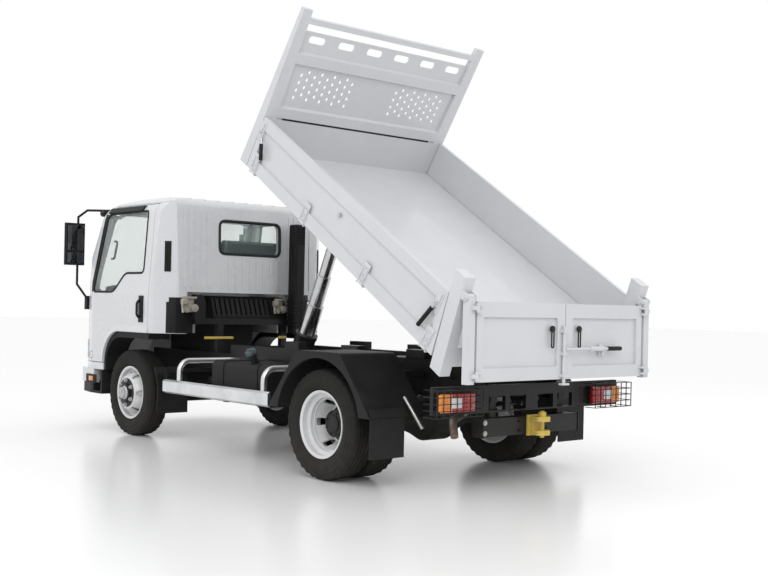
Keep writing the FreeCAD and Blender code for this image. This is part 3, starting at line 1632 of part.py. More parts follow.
def side_guards():
    """Lateral guard planks on bent tube arms."""
    top = guard_low + guard_depth
    plank = prism("y", [
        (guard_x, guard_low), (guard_x, top), (guard_x + guard_bevel, top),
        (guard_x + guard_thickness, top - 2.0 * guard_bevel),
        (guard_x + guard_thickness, guard_low + 2.0 * guard_bevel), (guard_x + guard_bevel, guard_low),
    ], guard_front, guard_rear)
    pieces = [plank]
    x = guard_x - guard_arm_radius + 1.0
    level = tank_top - 20.0
    for y in (guard_front + guard_arm_front, guard_rear - guard_arm_rear):
        pieces.append(bent_tube([
            Vector(x, y, guard_low + guard_bevel), Vector(x, y, level), Vector(frame_half_width + seat_gap, y, level),
        ], guard_arm_radius, 90.0))
    return both_sides(join(pieces))


def mudguard_outline(inset, low):
    """Return the rear mudguard's outline from the side, drawn in by an inset and ended at a low level."""
    run = (mudguard_half_low - mudguard_half_top) / (mudguard_top - mudguard_low)
    side = inset * math.sqrt(1.0 + run * run)
    half_top = mudguard_half_top + inset * run - side
    half_low = mudguard_half_top + (mudguard_top - low) * run - side
    top = mudguard_top - inset
    return [(-half_low, low), (half_low, low), (half_top, top, 60.0), (-half_top, top, 60.0)]


def rear_mudguards():
    """Mudguards over the twin wheels with an arched outer cheek, hanging flap and arms."""
    skin = prism("x", mudguard_outline(0.0, mudguard_low), mudguard_inner, mudguard_outer)
    hollow = prism("x", mudguard_outline(mudguard_wall, mudguard_low - 50.0), mudguard_inner - 10.0,
                   mudguard_outer - mudguard_lip)
    arch = rod(Vector(mudguard_inner - 10.0, 0, tyre_radius), Vector(mudguard_outer + 10.0, 0, tyre_radius),
               mudguard_arch)
    guard = skin.cut(hollow).cut(arch)
    flap_y = mudguard_half_low - 1.5 * mudguard_wall
    flap = block(rear_flap_inner, rear_flap_outer, flap_y, flap_y + flap_thickness, rear_flap_low,
                 mudguard_low + 60.0)
    pieces = [guard, flap]
    low = rail_top - mudguard_arm
    for y in (-mudguard_half_top - 1.5 * mudguard_arm, mudguard_half_top + 0.5 * mudguard_arm):
        pieces.append(block(frame_half_width + seat_gap, mudguard_inner + 5.0 * mudguard_arm, y, y + mudguard_arm,
                            low, rail_top))
        pieces.append(block(mudguard_inner, mudguard_inner + mudguard_wall, y, y + mudguard_arm,
                            low, rail_top + 1.5 * mudguard_arm))
    return both_sides(join(pieces))


def arch_liners():
    """Dark liners inside the front wheel arches."""
    low = cab_sill
    front = arch_front + seat_gap
    top = arch_top - seat_gap
    inner_corner = arch_corner - liner_top + 10.0
    liner = prism("x", [
        (front, low), (front, top, arch_corner - seat_gap), (door_rear, top), (door_rear, arch_top - liner_top),
        (arch_front + liner_front, arch_top - liner_top, inner_corner), (arch_front + liner_front, low),
    ], liner_inner, cab_half_width - 12.0)
    return both_sides(liner)


def front_mudguards():
    """Curved splash panels behind the front wheels, on arms from the frame."""
    centre = Vector(0, front_axle_y, tyre_radius)
    radius = splash_radius
    x0 = mudguard_inner
    x1 = cab_half_width - splash_inset
    ring = rod(centre + Vector(x0, 0, 0), centre + Vector(x1, 0, 0), radius + mudguard_wall)
    ring = ring.cut(rod(centre + Vector(x0 - 1.0, 0, 0), centre + Vector(x1 + 1.0, 0, 0), radius))
    near = front_axle_y + radius / 2.0
    far = front_axle_y + 1.2 * radius
    sector = prism("x", [
        (near, tyre_radius + radius / 2.0), (far, tyre_radius + radius / 2.0),
        (far, tyre_radius - 30.0), (near, tyre_radius - 30.0),
    ], x0, x1)
    panel = ring.common(sector)
    back = front_axle_y + radius - 2.0
    flap = block(x0, x1, back, back + flap_thickness, splash_low, tyre_radius - 20.0)
    arm_y = back + 4.0
    arm_top = frame_bottom + mudguard_arm
    arm = block(frame_half_width + seat_gap, x1 - splash_arm, arm_y, arm_y + mudguard_arm - 10.0,
                arm_top - 30.0, arm_top)
    drop = block(x1 - splash_arm - 30.0, x1 - splash_arm, arm_y, arm_y + mudguard_arm - 10.0, tyre_radius, arm_top)
    return both_sides(join([panel, flap, arm, drop]))


def tail_bar():
    """Lamp crossbar with two openings each side and brackets to the rail ends."""
    bar = block(-tail_bar_half, tail_bar_half, tail_y, tail_y + tail_bar_depth, tail_bar_low, tail_bar_top)
    for side in (-1, 1):
        for start in tail_openings:
            ends = sorted((side * start, side * (start + tail_opening_width)))
            bar = bar.cut(block(ends[0], ends[1], tail_y - 5.0, tail_y + tail_bar_depth + 5.0,
                                tail_bar_low + tail_rim_low, tail_bar_top - tail_rim_top))
    pieces = [bar]
    for side in (-1, 1):
        low = min(side * (frame_half_width - frame_flange), side * frame_half_width)
        pieces.append(block(low, low + frame_flange, frame_rear + seat_gap, tail_y + 1.0, frame_bottom, tail_bar_top))
    return join(pieces)


def tail_lamps():
    """Three-part rear lamps in their trays."""
    y = tail_y + tail_bar_depth + seat_gap
    edge = lamp_edge
    tray = block(lamp_inner, lamp_outer, y, y + 2.0 * edge, lamp_low, lamp_top)
    lens = block(lamp_inner + edge, lamp_outer - edge, y + edge, y + lamp_depth, lamp_low + edge, lamp_top - edge)
    lens = lens.makeFillet(edge, [line for line in lens.Edges if line.CenterOfMass.y > y + lamp_depth - 1.0])
    return both_sides(join([tray, lens]))


def lamp_guards():
    """Wire cages that stand round the rear lamps."""
    y0 = tail_y + tail_bar_depth
    y1 = y0 + lamp_depth + cage_reach
    x0 = lamp_inner - cage_reach / 2.0
    x1 = lamp_outer + 1.5 * cage_reach
    z0 = lamp_low - cage_reach / 2.0
    z1 = lamp_top + cage_reach / 2.0
    pieces = []
    for row in range(cage_rows):
        z = z0 + (z1 - z0 - wire) * row / (cage_rows - 1)
        pieces.append(block(x0, x1, y1 - wire, y1, z, z + wire))
        for x in (x0, x1 - wire):
            pieces.append(block(x, x + wire, y0 - (tail_bar_depth if x > tail_bar_half else 0.0), y1, z, z + wire))
    for column in range(cage_columns):
        x = x0 + (x1 - x0 - wire) * column / (cage_columns - 1)
        pieces.append(block(x, x + wire, y1 - wire, y1, z0, z1))
    for z in (z0, z1 - wire):
        for third in (1, 2):
            x = x0 + (x1 - x0) * third / 3.0
            pieces.append(block(x, x + wire, y0, y1, z, z + wire))
    return both_sides(join(pieces))


def tow_beam():
    """Underrun beam with end plates and legs to the rails."""
    pieces = [prism("x", [
        (beam_y, beam_low), (beam_y + beam_depth, beam_low), (beam_y + beam_depth, beam_top), (beam_y, beam_top),
    ], -beam_half, beam_half)]
    for side in (-1, 1):
        low = min(side * (frame_half_width - frame_flange), side * frame_half_width)
        pieces.append(block(low, low + frame_flange, frame_rear - 110.0, beam_y + 40.0, beam_low + 10.0,
                            frame_bottom - seat_gap))
        low = min(side * beam_half, side * (beam_half - 10.0))
        pieces.append(block(low, low + 10.0, beam_y - 6.0, beam_y + beam_depth + 6.0, beam_low - 6.0, beam_top + 6.0))
    beam = join(pieces)
    for side in (-1, 1):
        for z in (beam_low + 30.0, beam_top - 30.0):
            beam = beam.cut(rod(Vector(side * hitch_bolt_x, beam_y - 5.0, z),
                                Vector(side * hitch_bolt_x, beam_y + beam_depth + 5.0, z), hitch_bolt_radius))
    return beam


def tow_coupling():
    """Pin-type tow coupling bolted behind the beam."""
    y = beam_y + beam_depth + seat_gap
    middle = (beam_low + beam_top) / 2.0
    plate = block(-hitch_half, hitch_half, y, y + 16.0, beam_low - 10.0, beam_top + 10.0)
    jaws = []
    for low, high in ((-62.0, -30.0), (30.0, 62.0)):
        jaw = prism("z", [
            (-hitch_half + 8.0, y + 10.0), (hitch_half - 8.0, y + 10.0),
            (hitch_half, y + hitch_reach - 30.0, 30.0), (hitch_half - 30.0, y + hitch_reach, 20.0),
            (-hitch_half + 30.0, y + hitch_reach, 20.0), (-hitch_half, y + hitch_reach - 30.0, 30.0),
        ], middle + low, middle + high)
        jaws.append(jaw)
    web = block(-hitch_half + 8.0, hitch_half - 8.0, y + 10.0, y + 46.0, middle - 62.0, middle + 62.0)
    pin_y = y + hitch_reach - 45.0
    pin = rod(Vector(0, pin_y, middle - 80.0), Vector(0, pin_y, middle + 100.0), 15.0)
    head = rod(Vector(0, pin_y, middle + 62.0), Vector(0, pin_y, middle + 92.0), 26.0)
    return join([plate, web, pin, head] + jaws)


def bumper_band(outset, low, high, back):
    """Return the band that follows the cab's nose, from low to high and as deep as back."""
    half = cab_half_width
    nose = cab_nose - outset
    plan = prism("z", [
        (half, cab_nose + 330.0 + back), (half + 0.0, cab_nose + 330.0, 300.0),
        (half - 90.0 + outset * 0.6, cab_nose + 70.0 - outset, 130.0), (half - 420.0, nose, 500.0),
        (-half + 420.0, nose, 500.0), (-half + 90.0 - outset * 0.6, cab_nose + 70.0 - outset, 130.0),
        (-half, cab_nose + 330.0, 300.0), (-half, cab_nose + 330.0 + back),
    ], low, high)
    core = prism("z", [
        (half - 60.0, cab_nose + 331.0 + back), (half - 60.0, cab_nose + 330.0, 300.0),
        (half - 150.0, cab_nose + 130.0, 100.0), (half - 440.0, cab_nose + 62.0, 400.0),
        (-half + 440.0, cab_nose + 62.0, 400.0), (-half + 150.0, cab_nose + 130.0, 100.0),
        (-half + 60.0, cab_nose + 330.0, 300.0), (-half + 60.0, cab_nose + 331.0 + back),
    ], low - 1.0, high + 1.0)
    return plan.cut(core)


def bumper():
    """Painted bumper that wraps round the nose, with brackets to the rails."""
    band = bumper_band(bumper_depth, 430.0, cab_sill - seat_gap, 60.0)
    pieces = [band]
    for side in (-1, 1):
        low = min(side * (frame_half_width - frame_flange), side * frame_half_width)
        pieces.append(block(low, low + frame_flange, cab_nose + 50.0, -frame_front - seat_gap, 450.0,
                            cab_sill - seat_gap))
        pieces.append(block(low, low + frame_flange, -frame_front - 60.0, -frame_front - seat_gap, 450.0,
                            frame_bottom + 120.0))
    return join(pieces)


def valance():
    """Dark lower valance with the entry steps behind it."""
    band = bumper_band(bumper_depth - 22.0, 335.0, 430.0 - seat_gap, 60.0)
    pieces = [band]
    for side in (-1, 1):
        low = min(side * (cab_half_width - 230.0), side * cab_half_width)
        step = block(low, low + 230.0, cab_nose + 330.0, arch_front - 15.0, 335.0, 360.0)
        riser = block(low, low + 230.0, arch_front - 40.0, arch_front - 15.0, 335.0, cab_sill - seat_gap)
        pieces += [step, riser]
    return join(pieces)


def headlamps():
    """Headlamps let into the nose above the bumper."""
    outline = [(500.0, 650.0, 30.0), (cab_half_width - 30.0, 650.0, 30.0),
               (cab_half_width - 30.0, 830.0, 30.0), (540.0, 830.0, 30.0)]
    layer = cab_body(-6.0, -6.0).cut(cab_body(30.0, 30.0))
    lamp = layer.common(prism("y", outline, cab_nose - 60.0, door_front - 10.0))
    return both_sides(lamp)


def grille():
    """Slatted grille between the headlamps."""
    frame = block(-450.0, 450.0, cab_nose - 8.0, cab_nose + 24.0, 660.0, 830.0)
    frame = frame.cut(block(-436.0, 436.0, cab_nose - 20.0, cab_nose + 12.0, 674.0, 816.0))
    pieces = [frame]
    slats = 4
    for index in range(slats):
        z = 690.0 + index * 32.0
        pieces.append(block(-440.0, 440.0, cab_nose - 4.0, cab_nose + 14.0, z, z + 14.0))
    return join(pieces)


def dashboard():
    """Dashboard, steering column and steering wheel."""
    y = cab_nose + 105.0 + cab_wall
    panel = prism("x", [
        (y + 20.0, 1150.0, 20.0), (y + 260.0, 1120.0, 40.0), (y + 340.0, 1200.0, 30.0),
        (y + 250.0, 1350.0, 60.0), (y + 60.0, 1330.0, 30.0),
    ], -cab_half_width + 190.0, cab_half_width - 190.0)
    post = block(-60.0, 60.0, y + 60.0, y + 200.0, cab_floor_top + seat_gap, 1160.0)
    tilt = Vector(0, 0.62, 0.78).normalize()
    hub = Vector(driver_x, y + 415.0, 1450.0)
    column = rod(hub - tilt * 380.0, hub, 28.0)
    ring = Part.makeTorus(205.0, 15.0, hub, tilt)
    across = Vector(1, 0, 0)
    spokes = [rod(hub - across * 205.0, hub + across * 205.0, 13.0),
              rod(hub, hub + tilt.cross(across) * 200.0, 13.0), rod(hub - tilt * 8.0, hub + tilt * 12.0, 60.0)]
    return join([panel, post, column, ring] + spokes)


def seats():
    """Driver's seat and a double seat with backs and head rests."""
    base = tunnel_top + 40.0 + seat_gap
    pieces = []
    for low, high in ((driver_x - 250.0, driver_x + 250.0), (-driver_x - 250.0, driver_x - 290.0)):
        cushion = prism("x", [
            (-3290.0, base + 20.0, 30.0), (-3310.0, base + 150.0, 50.0), (-2900.0, base + 130.0, 30.0),
            (-2790.0, base + 100.0), (-2790.0, base, 20.0), (-3240.0, base, 20.0),
        ], low, high)
        back = prism("x", [
            (-2880.0, base + 60.0, 20.0), (-2900.0, base + 130.0), (-2770.0, base + 660.0, 50.0),
            (-2690.0, base + 660.0, 30.0), (-2740.0, base + 60.0, 20.0),
        ], low + 15.0, high - 15.0)
        pieces += [cushion, back]
    legs = [block(side * 400.0 - 120.0, side * 400.0 + 120.0, -3200.0, -2800.0, cab_floor_top + seat_gap, base + 5.0)
            .cut(block(-tunnel_half - 40.0 - seat_gap, tunnel_half + 40.0 + seat_gap, -3300.0, -2700.0, 0.0,
                       tunnel_top + 40.0 + seat_gap)) for side in (-1, 1)]
    return join(pieces[:2] + pieces[2:] + legs)


def mirrors():
    """Door mirrors on bent arms at the front corners."""
    y = cab_nose + 75.0
    x = cab_half_width + 62.0
    head = prism("z", [
        (x - 95.0, y + 30.0, 14.0), (x + 105.0, y + 6.0, 14.0), (x + 95.0, y - 40.0, 16.0), (x - 80.0, y - 30.0, 16.0),
    ], 1530.0, 1930.0)
    upper = arm([
        Vector(cab_half_width - 150.0, cab_nose + 430.0, 2045.0), Vector(x - 60.0, y + 120.0, 2050.0),
        Vector(x - 30.0, y - 6.0, 1990.0), Vector(x - 30.0, y - 6.0, 1920.0),
    ], 11.0)
    lower = arm([
        Vector(x - 30.0, y - 6.0, 1540.0), Vector(x - 30.0, y - 6.0, 1350.0),
        Vector(cab_half_width - 95.0, cab_nose + 85.0, 1180.0),
    ], 11.0)
    base = block(cab_half_width - 110.0, cab_half_width - 60.0, cab_nose + 50.0, cab_nose + 100.0, 1110.0, 1240.0)
    return both_sides(join([head, upper, lower, base]).cut(cab_body(skin_inset, skin_inset)))


def cab_mount():
    """Arch behind the cab that carries its latches and the intake."""
    y0 = cab_rear + 8.0
    y1 = y0 + 50.0
    height = 1010.0
    pieces = []
    for side in (-1, 1):
        low = min(side * (frame_half_width - frame_flange), side * frame_half_width)
        pieces.append(block(low, low + frame_flange, y0, y1, rail_top + seat_gap, height + 50.0))
        x = side * 560.0
        pieces.append(prism("y", [
            (x - 55.0, height + 40.0), (x + 55.0, height + 40.0), (x + 55.0, height + 200.0, 20.0),
            (x + 20.0, engine_bay_top - 20.0, 20.0), (x - 20.0, engine_bay_top - 20.0, 20.0),
            (x - 55.0, height + 200.0, 20.0),
        ], y0 - 60.0, y1))
    pieces.append(block(-mount_half, mount_half, y0, y1, height, height + 50.0))
    return join(pieces)


def rear_cover():
    """Ribbed cover behind the engine."""
    body = prism("x", [
        (-2600.0, 1060.0 + seat_gap), (-2600.0, 1265.0, 30.0), (-2450.0, 1255.0, 40.0), (-2390.0, 1090.0, 30.0),
        (-2390.0, 1060.0 + seat_gap),
    ], -400.0, 400.0)
    grooves = []
    count = 15
    for index in range(count):
        x = -370.0 + 740.0 * index / (count - 1)
        grooves.append(block(x - 9.0, x + 9.0, -2455.0, -2380.0, 1095.0, 1240.0))
    return body.cut(grooves)


def air_intake():
    """Raised air intake with its louvred head, on the cab mount."""
    intake_y = cab_rear + 58.0 + seat_gap
    x0 = intake_outer
    x1 = intake_outer + 120.0
    duct = prism("z", [
        (x0, intake_y, 15.0), (x1, intake_y, 15.0), (x1, intake_y + 112.0, 25.0), (x0, intake_y + 112.0, 25.0),
    ], 930.0, 1940.0)
    duct = duct.makeFillet(20.0, [edge for edge in duct.Edges if edge.CenterOfMass.z > 1939.0 and
                                  edge.Length > 60.0])
    pieces = [duct]
    for index in range(7):
        z = 1000.0 + index * 36.0
        pieces.append(block(x0 - 8.0, x1 + 8.0, intake_y, intake_y + 120.0, z, z + 18.0))
    cuts = []
    for index in range(6):
        z = 1760.0 + index * 26.0
        cuts.append(block(x0 + 15.0, x1 - 15.0, intake_y + 98.0, intake_y + 125.0, z, z + 12.0))
    return join(pieces).cut(cuts)


parts = {}


def build():
    """Make every piece and keep it under its plain name."""
    wheel, rubber = front_wheel()
    parts["wheel_front_left"] = wheel
    parts["tyre_front_left"] = rubber
    parts["wheel_front_right"] = mirrored(wheel)
    parts["tyre_front_right"] = mirrored(rubber)
    wheels, rubbers = rear_wheels()
    parts["wheels_rear_left"] = wheels
    parts["tyres_rear_left"] = rubbers
    parts["wheels_rear_right"] = mirrored(wheels)
    parts["tyres_rear_right"] = mirrored(rubbers)
    parts["front_axle"] = front_axle()
    parts["knuckle_left"] = knuckle()
    parts["knuckle_right"] = mirrored(parts["knuckle_left"])
    parts["leaf_springs"] = leaf_springs()
    parts["rear_axle"] = rear_axle()
    parts["propeller_shaft"] = propeller_shaft()
    parts["engine"] = engine()
    parts["frame"] = join(frame_rails().Solids + frame_crossmembers().Solids)
    parts["subframe"] = subframe()
    stages = ram()
    parts["ram_barrel"] = stages[0]
    for index in range(ram_stage_count):
        parts["ram_stage_%d" % (index + 1)] = stages[index + 1]
    parts["bed_floor"] = bed_floor()
    parts["bed_pillars"] = pillars()
    parts["headboard_frame"] = headboard_frame()
    parts["headboard_panel"] = headboard_panel()
    parts["sideboard_left"] = sideboard()
    parts["sideboard_right"] = mirrored(parts["sideboard_left"])
    parts["tailgate_posts"] = gate_posts()
    leaf = gate_leaf()
    parts["tailgate_leaf_left"] = leaf
    parts["tailgate_leaf_right"] = mirrored(leaf)
    parts["tailgate_lock"] = gate_lock()
    shell, door, pane, screen, back_pane = cab_parts()
    roof, back, floor, front = split_shell(shell)
    parts["cab_roof"] = join([roof] + roof_swages())
    parts["cab_back"] = join([back] + back_swages() + rear_flares())
    parts["cab_floor"] = floor
    parts["cab_front"] = front
    parts["door_left"] = join([door] + door_flare())
    parts["door_right"] = mirrored(parts["door_left"])
    parts["door_glass_left"] = pane
    parts["door_glass_right"] = mirrored(pane)
    parts["cab_glass"] = Part.makeCompound(screen.Solids + back_pane.Solids)
    parts["exhaust"] = exhaust()
    parts["side_tanks"] = Part.makeCompound([fuel_tank(), battery_box()])
    parts["side_guards"] = side_guards()
    parts["mudguards"] = Part.makeCompound(rear_mudguards().Solids + front_mudguards().Solids + arch_liners().Solids)
    parts["tail_bar"] = join([tail_bar()] + lamp_guards().Solids)
    parts["tail_lamps"] = tail_lamps()
    parts["tow_beam"] = tow_beam()
    parts["tow_coupling"] = tow_coupling()
    parts["bumper"] = bumper()
    parts["valance"] = valance()
    parts["headlamps"] = headlamps()
    parts["cab_front"] = parts["cab_front"].cut(parts["headlamps"])
    parts["grille"] = grille()
    parts["cab_front"] = parts["cab_front"].cut(block(-450.3, 450.3, cab_nose - 60.0, cab_nose + 24.3, 659.7, 830.3))
    parts["dashboard"] = dashboard()
    parts["seats"] = seats()
    parts["mirrors"] = mirrors()
    parts["cab_mount"] = cab_mount()
    parts["rear_cover"] = rear_cover()
    parts["air_intake"] = air_intake()


def centre_shift():
    """Return how far the truck moves along Y so that its box is centred on the origin."""
    tail = gate_pivot().y + gate_thickness / 2.0 + lock_standoff + lever_standoff + grip_radius
    return -(bumper_front + tail) / 2.0


build()
shift = Vector(0, centre_shift(), 0)
for name, shape in parts.items():
    shape.translate(shift)
    box = shape.BoundBox
    litres = shape.Volume / 1e6
    print("%-22s %d solids %.2f litres, valid %s, y %.0f..%.0f z %.0f..%.0f x %.0f..%.0f" % (
        name, len(shape.Solids), litres, shape.isValid(), box.YMin, box.YMax, box.ZMin, box.ZMax, box.XMin, box.XMax))
    shape.exportStep("parts/%s.step" % name)
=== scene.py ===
import bpy
import bmesh
import math
from mathutils import Matrix, Vector
from mathutils.bvhtree import BVHTree


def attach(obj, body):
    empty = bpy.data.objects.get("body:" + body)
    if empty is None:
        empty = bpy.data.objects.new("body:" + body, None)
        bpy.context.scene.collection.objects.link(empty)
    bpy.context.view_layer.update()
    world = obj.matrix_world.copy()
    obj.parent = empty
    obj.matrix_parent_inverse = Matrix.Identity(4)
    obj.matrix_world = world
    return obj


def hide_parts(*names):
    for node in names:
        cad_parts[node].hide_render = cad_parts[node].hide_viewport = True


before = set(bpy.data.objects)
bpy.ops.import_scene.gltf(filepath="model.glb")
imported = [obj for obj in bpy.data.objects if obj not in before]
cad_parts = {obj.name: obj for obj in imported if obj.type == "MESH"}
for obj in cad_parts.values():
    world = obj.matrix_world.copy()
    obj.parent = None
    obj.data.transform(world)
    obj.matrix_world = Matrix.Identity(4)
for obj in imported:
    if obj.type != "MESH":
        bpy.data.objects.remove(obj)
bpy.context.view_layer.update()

# Metres. +X is the truck's left, +Y its tail, +Z up, and the tyres stand on Z = 0.
# at() measures from below the rear axle, onBed() from the tipped bed's pivot, forward and up.

layout = {
    "tailShift": 1.382494,      # rear axle's place along Y
    "wheelbase": 2.98,
    "tyreRadius": 0.383,
    "tyreWidth": 0.212,
    "rimRadius": 0.235,
    "frontTrack": 1.6,
    "rearTrack": 1.7,
    "dualSpacing": 0.24,
    "tipAngle": 33.0,
    "pivotY": 0.92,
    "pivotZ": 0.82,
}
rearAxleY = layout["tailShift"]
frontAxleY = rearAxleY - layout["wheelbase"]
bothSides = ((1, "left"), (-1, "right"))


def at(x, y, z):
    return Vector((x, y + rearAxleY, z))


def onSide(side, place):
    return at(side * place[0], place[1], place[2])


def onBed(x, forward, up):
    turn = math.radians(layout["tipAngle"])
    y = layout["pivotY"] - forward * math.cos(turn) + up * math.sin(turn)
    z = layout["pivotZ"] + forward * math.sin(turn) + up * math.cos(turn)
    return at(x, y, z)


def turned(degrees, size, axis):
    return Matrix.Rotation(math.radians(degrees), size, axis)


# Finishes: two colours in patches, roughness from and to, fine bump, clear coat and dust low down

lampSurface = dict(rough=(0.08, 0.14), scale=40.0, bump=0.20, bumpScale=90.0, coat=0.8)
looks = {
    "gloss white paint": dict(color=(0.62, 0.63, 0.65), tint=(0.60, 0.61, 0.63), rough=(0.22, 0.34),
        scale=3.0, bump=0.02, bumpScale=260.0, coat=0.6, dust=0.08),
    "bed white paint": dict(color=(0.58, 0.59, 0.61), tint=(0.56, 0.57, 0.59), rough=(0.34, 0.42),
        scale=4.0, bump=0.05, bumpScale=180.0, coat=0.3, dust=0.06),
    "satin chassis black": dict(color=(0.006, 0.006, 0.006), tint=(0.012, 0.012, 0.012), rough=(0.34, 0.50),
        scale=7.0, bump=0.08, bumpScale=120.0, coat=0.1, dust=0.06),
    "cast black": dict(color=(0.012, 0.012, 0.012), tint=(0.028, 0.027, 0.026), rough=(0.50, 0.72),
        scale=14.0, bump=0.30, bumpScale=90.0, dust=0.1),
    "wheel enamel": dict(color=(0.66, 0.67, 0.68), tint=(0.60, 0.60, 0.61), rough=(0.32, 0.48), scale=9.0,
        bump=0.05, bumpScale=140.0, coat=0.25, dust=0.12),
    "tyre rubber": dict(color=(0.006, 0.006, 0.006), tint=(0.011, 0.011, 0.011), rough=(0.66, 0.85),
        scale=12.0, bump=0.12, bumpScale=150.0, dust=0.1),
    "zinc steel": dict(color=(0.52, 0.52, 0.50), tint=(0.40, 0.39, 0.36), rough=(0.28, 0.50), scale=30.0,
        bump=0.06, bumpScale=200.0, dust=0.08, metal=1.0),
    "hard chrome": dict(color=(0.58, 0.58, 0.59), tint=(0.50, 0.50, 0.51), rough=(0.16, 0.26), scale=18.0,
        bump=0.01, bumpScale=300.0, metal=1.0),
    "grained black plastic": dict(color=(0.007, 0.007, 0.008), tint=(0.013, 0.013, 0.014),
        rough=(0.48, 0.62), scale=8.0, bump=0.22, bumpScale=420.0, dust=0.05),
    "drawn aluminium": dict(color=(0.74, 0.75, 0.76), tint=(0.62, 0.63, 0.64), rough=(0.26, 0.40),
        scale=5.0, bump=0.05, bumpScale=160.0, dust=0.05, metal=1.0),
    "yellow casting": dict(color=(0.60, 0.45, 0.09), tint=(0.50, 0.36, 0.06), rough=(0.40, 0.58),
        scale=20.0, bump=0.16, bumpScale=110.0, coat=0.1, dust=0.08),
    "seat cloth": dict(color=(0.085, 0.09, 0.10), tint=(0.14, 0.145, 0.16), rough=(0.82, 0.95), scale=60.0,
        bump=0.40, bumpScale=700.0, sheen=0.3),
    "lamp red": dict(lampSurface, color=(0.50, 0.008, 0.008), tint=(0.38, 0.006, 0.006)),
    "lamp amber": dict(lampSurface, color=(0.80, 0.26, 0.01), tint=(0.68, 0.20, 0.01)),
    "lamp clear": dict(lampSurface, color=(0.78, 0.79, 0.80), tint=(0.66, 0.67, 0.68), rough=(0.05, 0.12)),
    "weather rubber": dict(color=(0.015, 0.015, 0.015), tint=(0.028, 0.028, 0.028), rough=(0.5, 0.68),
        scale=25.0, bump=0.10, bumpScale=300.0, dust=0.04),
    "mirror silver": dict(color=(0.07, 0.075, 0.08), tint=(0.05, 0.055, 0.06), rough=(0.04, 0.08),
        scale=10.0, metal=1.0),
    "latch casting": dict(color=(0.40, 0.37, 0.31), tint=(0.30, 0.28, 0.24), rough=(0.42, 0.62), scale=26.0,
        bump=0.18, bumpScale=120.0, dust=0.05, metal=0.3),
    "cap green": dict(color=(0.060, 0.085, 0.090), tint=(0.045, 0.065, 0.070), rough=(0.40, 0.58),
        scale=30.0, bump=0.14, bumpScale=300.0, coat=0.1, dust=0.05),
    "hub grey": dict(color=(0.42, 0.43, 0.44), tint=(0.34, 0.34, 0.35), rough=(0.30, 0.46), scale=22.0,
        bump=0.06, bumpScale=180.0, coat=0.2, dust=0.1),
    "exhaust steel": dict(color=(0.30, 0.27, 0.24), tint=(0.20, 0.13, 0.09), rough=(0.45, 0.7), scale=12.0,
        bump=0.12, bumpScale=140.0, dust=0.1, metal=0.8),
}
grain = {
    "detail": 6.0, "rough": 0.62, "colorEdges": (0.36, 0.66), "glossEdges": (0.3, 0.7), "fineDetail": 3.0,
    "bumpDepth": 0.002, "dustTop": 1.0, "dustFoot": 0.05, "dustScale": 11.0, "dustDetail": 8.0,
    "dustColor": (0.30, 0.27, 0.23), "coatRough": 0.08, "darkBelow": 0.05, "darkSpecular": 0.22,
    "specular": 0.5,
}
glassLook = {
    "tint": (0.30, 0.46, 0.40), "shade": (0.9, 0.94, 0.92), "rough": 0.0, "film": 0.05, "hazeScale": 2.5,
    "transmission": 0.6, "ior": 1.45, "alpha": 0.16,
}


def setInputs(tree, node, inputs):
    for key, value in inputs.items():
        if isinstance(value, bpy.types.NodeSocket):
            tree.links.new(value, node.inputs[key])
        else:
            node.inputs[key].default_value = value


def addNode(tree, kind, inputs, **settings):
    node = tree.nodes.new(kind)
    for key, value in settings.items():
        setattr(node, key, value)
    setInputs(tree, node, inputs)
    return node


def addMix(tree, factor, first, second):
    mix = addNode(tree, "ShaderNodeMix", {}, data_type="RGBA")
    setInputs(tree, mix, {"Factor": factor, "A": first, "B": second})
    return mix.outputs["Result"]


def addNoise(tree, place, scale, detail=2.0, rough=0.5):
    inputs = {"Vector": place, "Scale": scale, "Detail": detail, "Roughness": rough}
    return addNode(tree, "ShaderNodeTexNoise", inputs).outputs["Fac"]


def addRange(tree, value, start, end, low=0.0, high=1.0):
    inputs = {"Value": value, "From Min": start, "From Max": end, "To Min": low, "To Max": high}
    return addNode(tree, "ShaderNodeMapRange", inputs).outputs["Result"]


def scaled(tree, value, factor):
    return addNode(tree, "ShaderNodeMath", {0: value, 1: factor}, operation="MULTIPLY").outputs[0]


def startMaterial(name):
    finish = bpy.data.materials.new(name)
    finish.use_nodes = True
    tree = finish.node_tree
    place = tree.nodes.new("ShaderNodeTexCoord").outputs["Object"]
    return finish, tree, tree.nodes["Principled BSDF"], place


def dusted(tree, place, color, amount):
    height = addNode(tree, "ShaderNodeSeparateXYZ", {"Vector": place}).outputs["Z"]
    low = addRange(tree, height, grain["dustTop"], grain["dustFoot"], 0.0, amount)
    grime = addNoise(tree, place, grain["dustScale"], grain["dustDetail"])
    return addMix(tree, scaled(tree, low, grime), color, (*grain["dustColor"], 1.0))


def makeFinish(name):
    look = looks[name]
    finish, tree, shader, place = startMaterial(name.replace(" ", "_"))
    patches = addNoise(tree, place, look["scale"], grain["detail"], grain["rough"])
    spread = addRange(tree, patches, *grain["colorEdges"])
    color = addMix(tree, spread, (*look["color"], 1.0), (*look["tint"], 1.0))
    if "dust" in look:
        color = dusted(tree, place, color, look["dust"])
    gloss = addRange(tree, patches, *grain["glossEdges"], *look["rough"])
    if "bump" in look:
        fine = addNoise(tree, place, look["bumpScale"], grain["fineDetail"])
        relief = {"Height": fine, "Strength": look["bump"], "Distance": grain["bumpDepth"]}
        normal = addNode(tree, "ShaderNodeBump", relief).outputs["Normal"]
        setInputs(tree, shader, {"Normal": normal})
    dark = max(look["color"]) < grain["darkBelow"]
    setInputs(tree, shader, {
        "Base Color": color, "Roughness": gloss, "Metallic": look.get("metal", 0.0),
        "Coat Weight": look.get("coat", 0.0), "Coat Roughness": grain["coatRough"],
        "Sheen Weight": look.get("sheen", 0.0),
        "Specular IOR Level": grain["darkSpecular" if dark else "specular"],
    })
    return finish


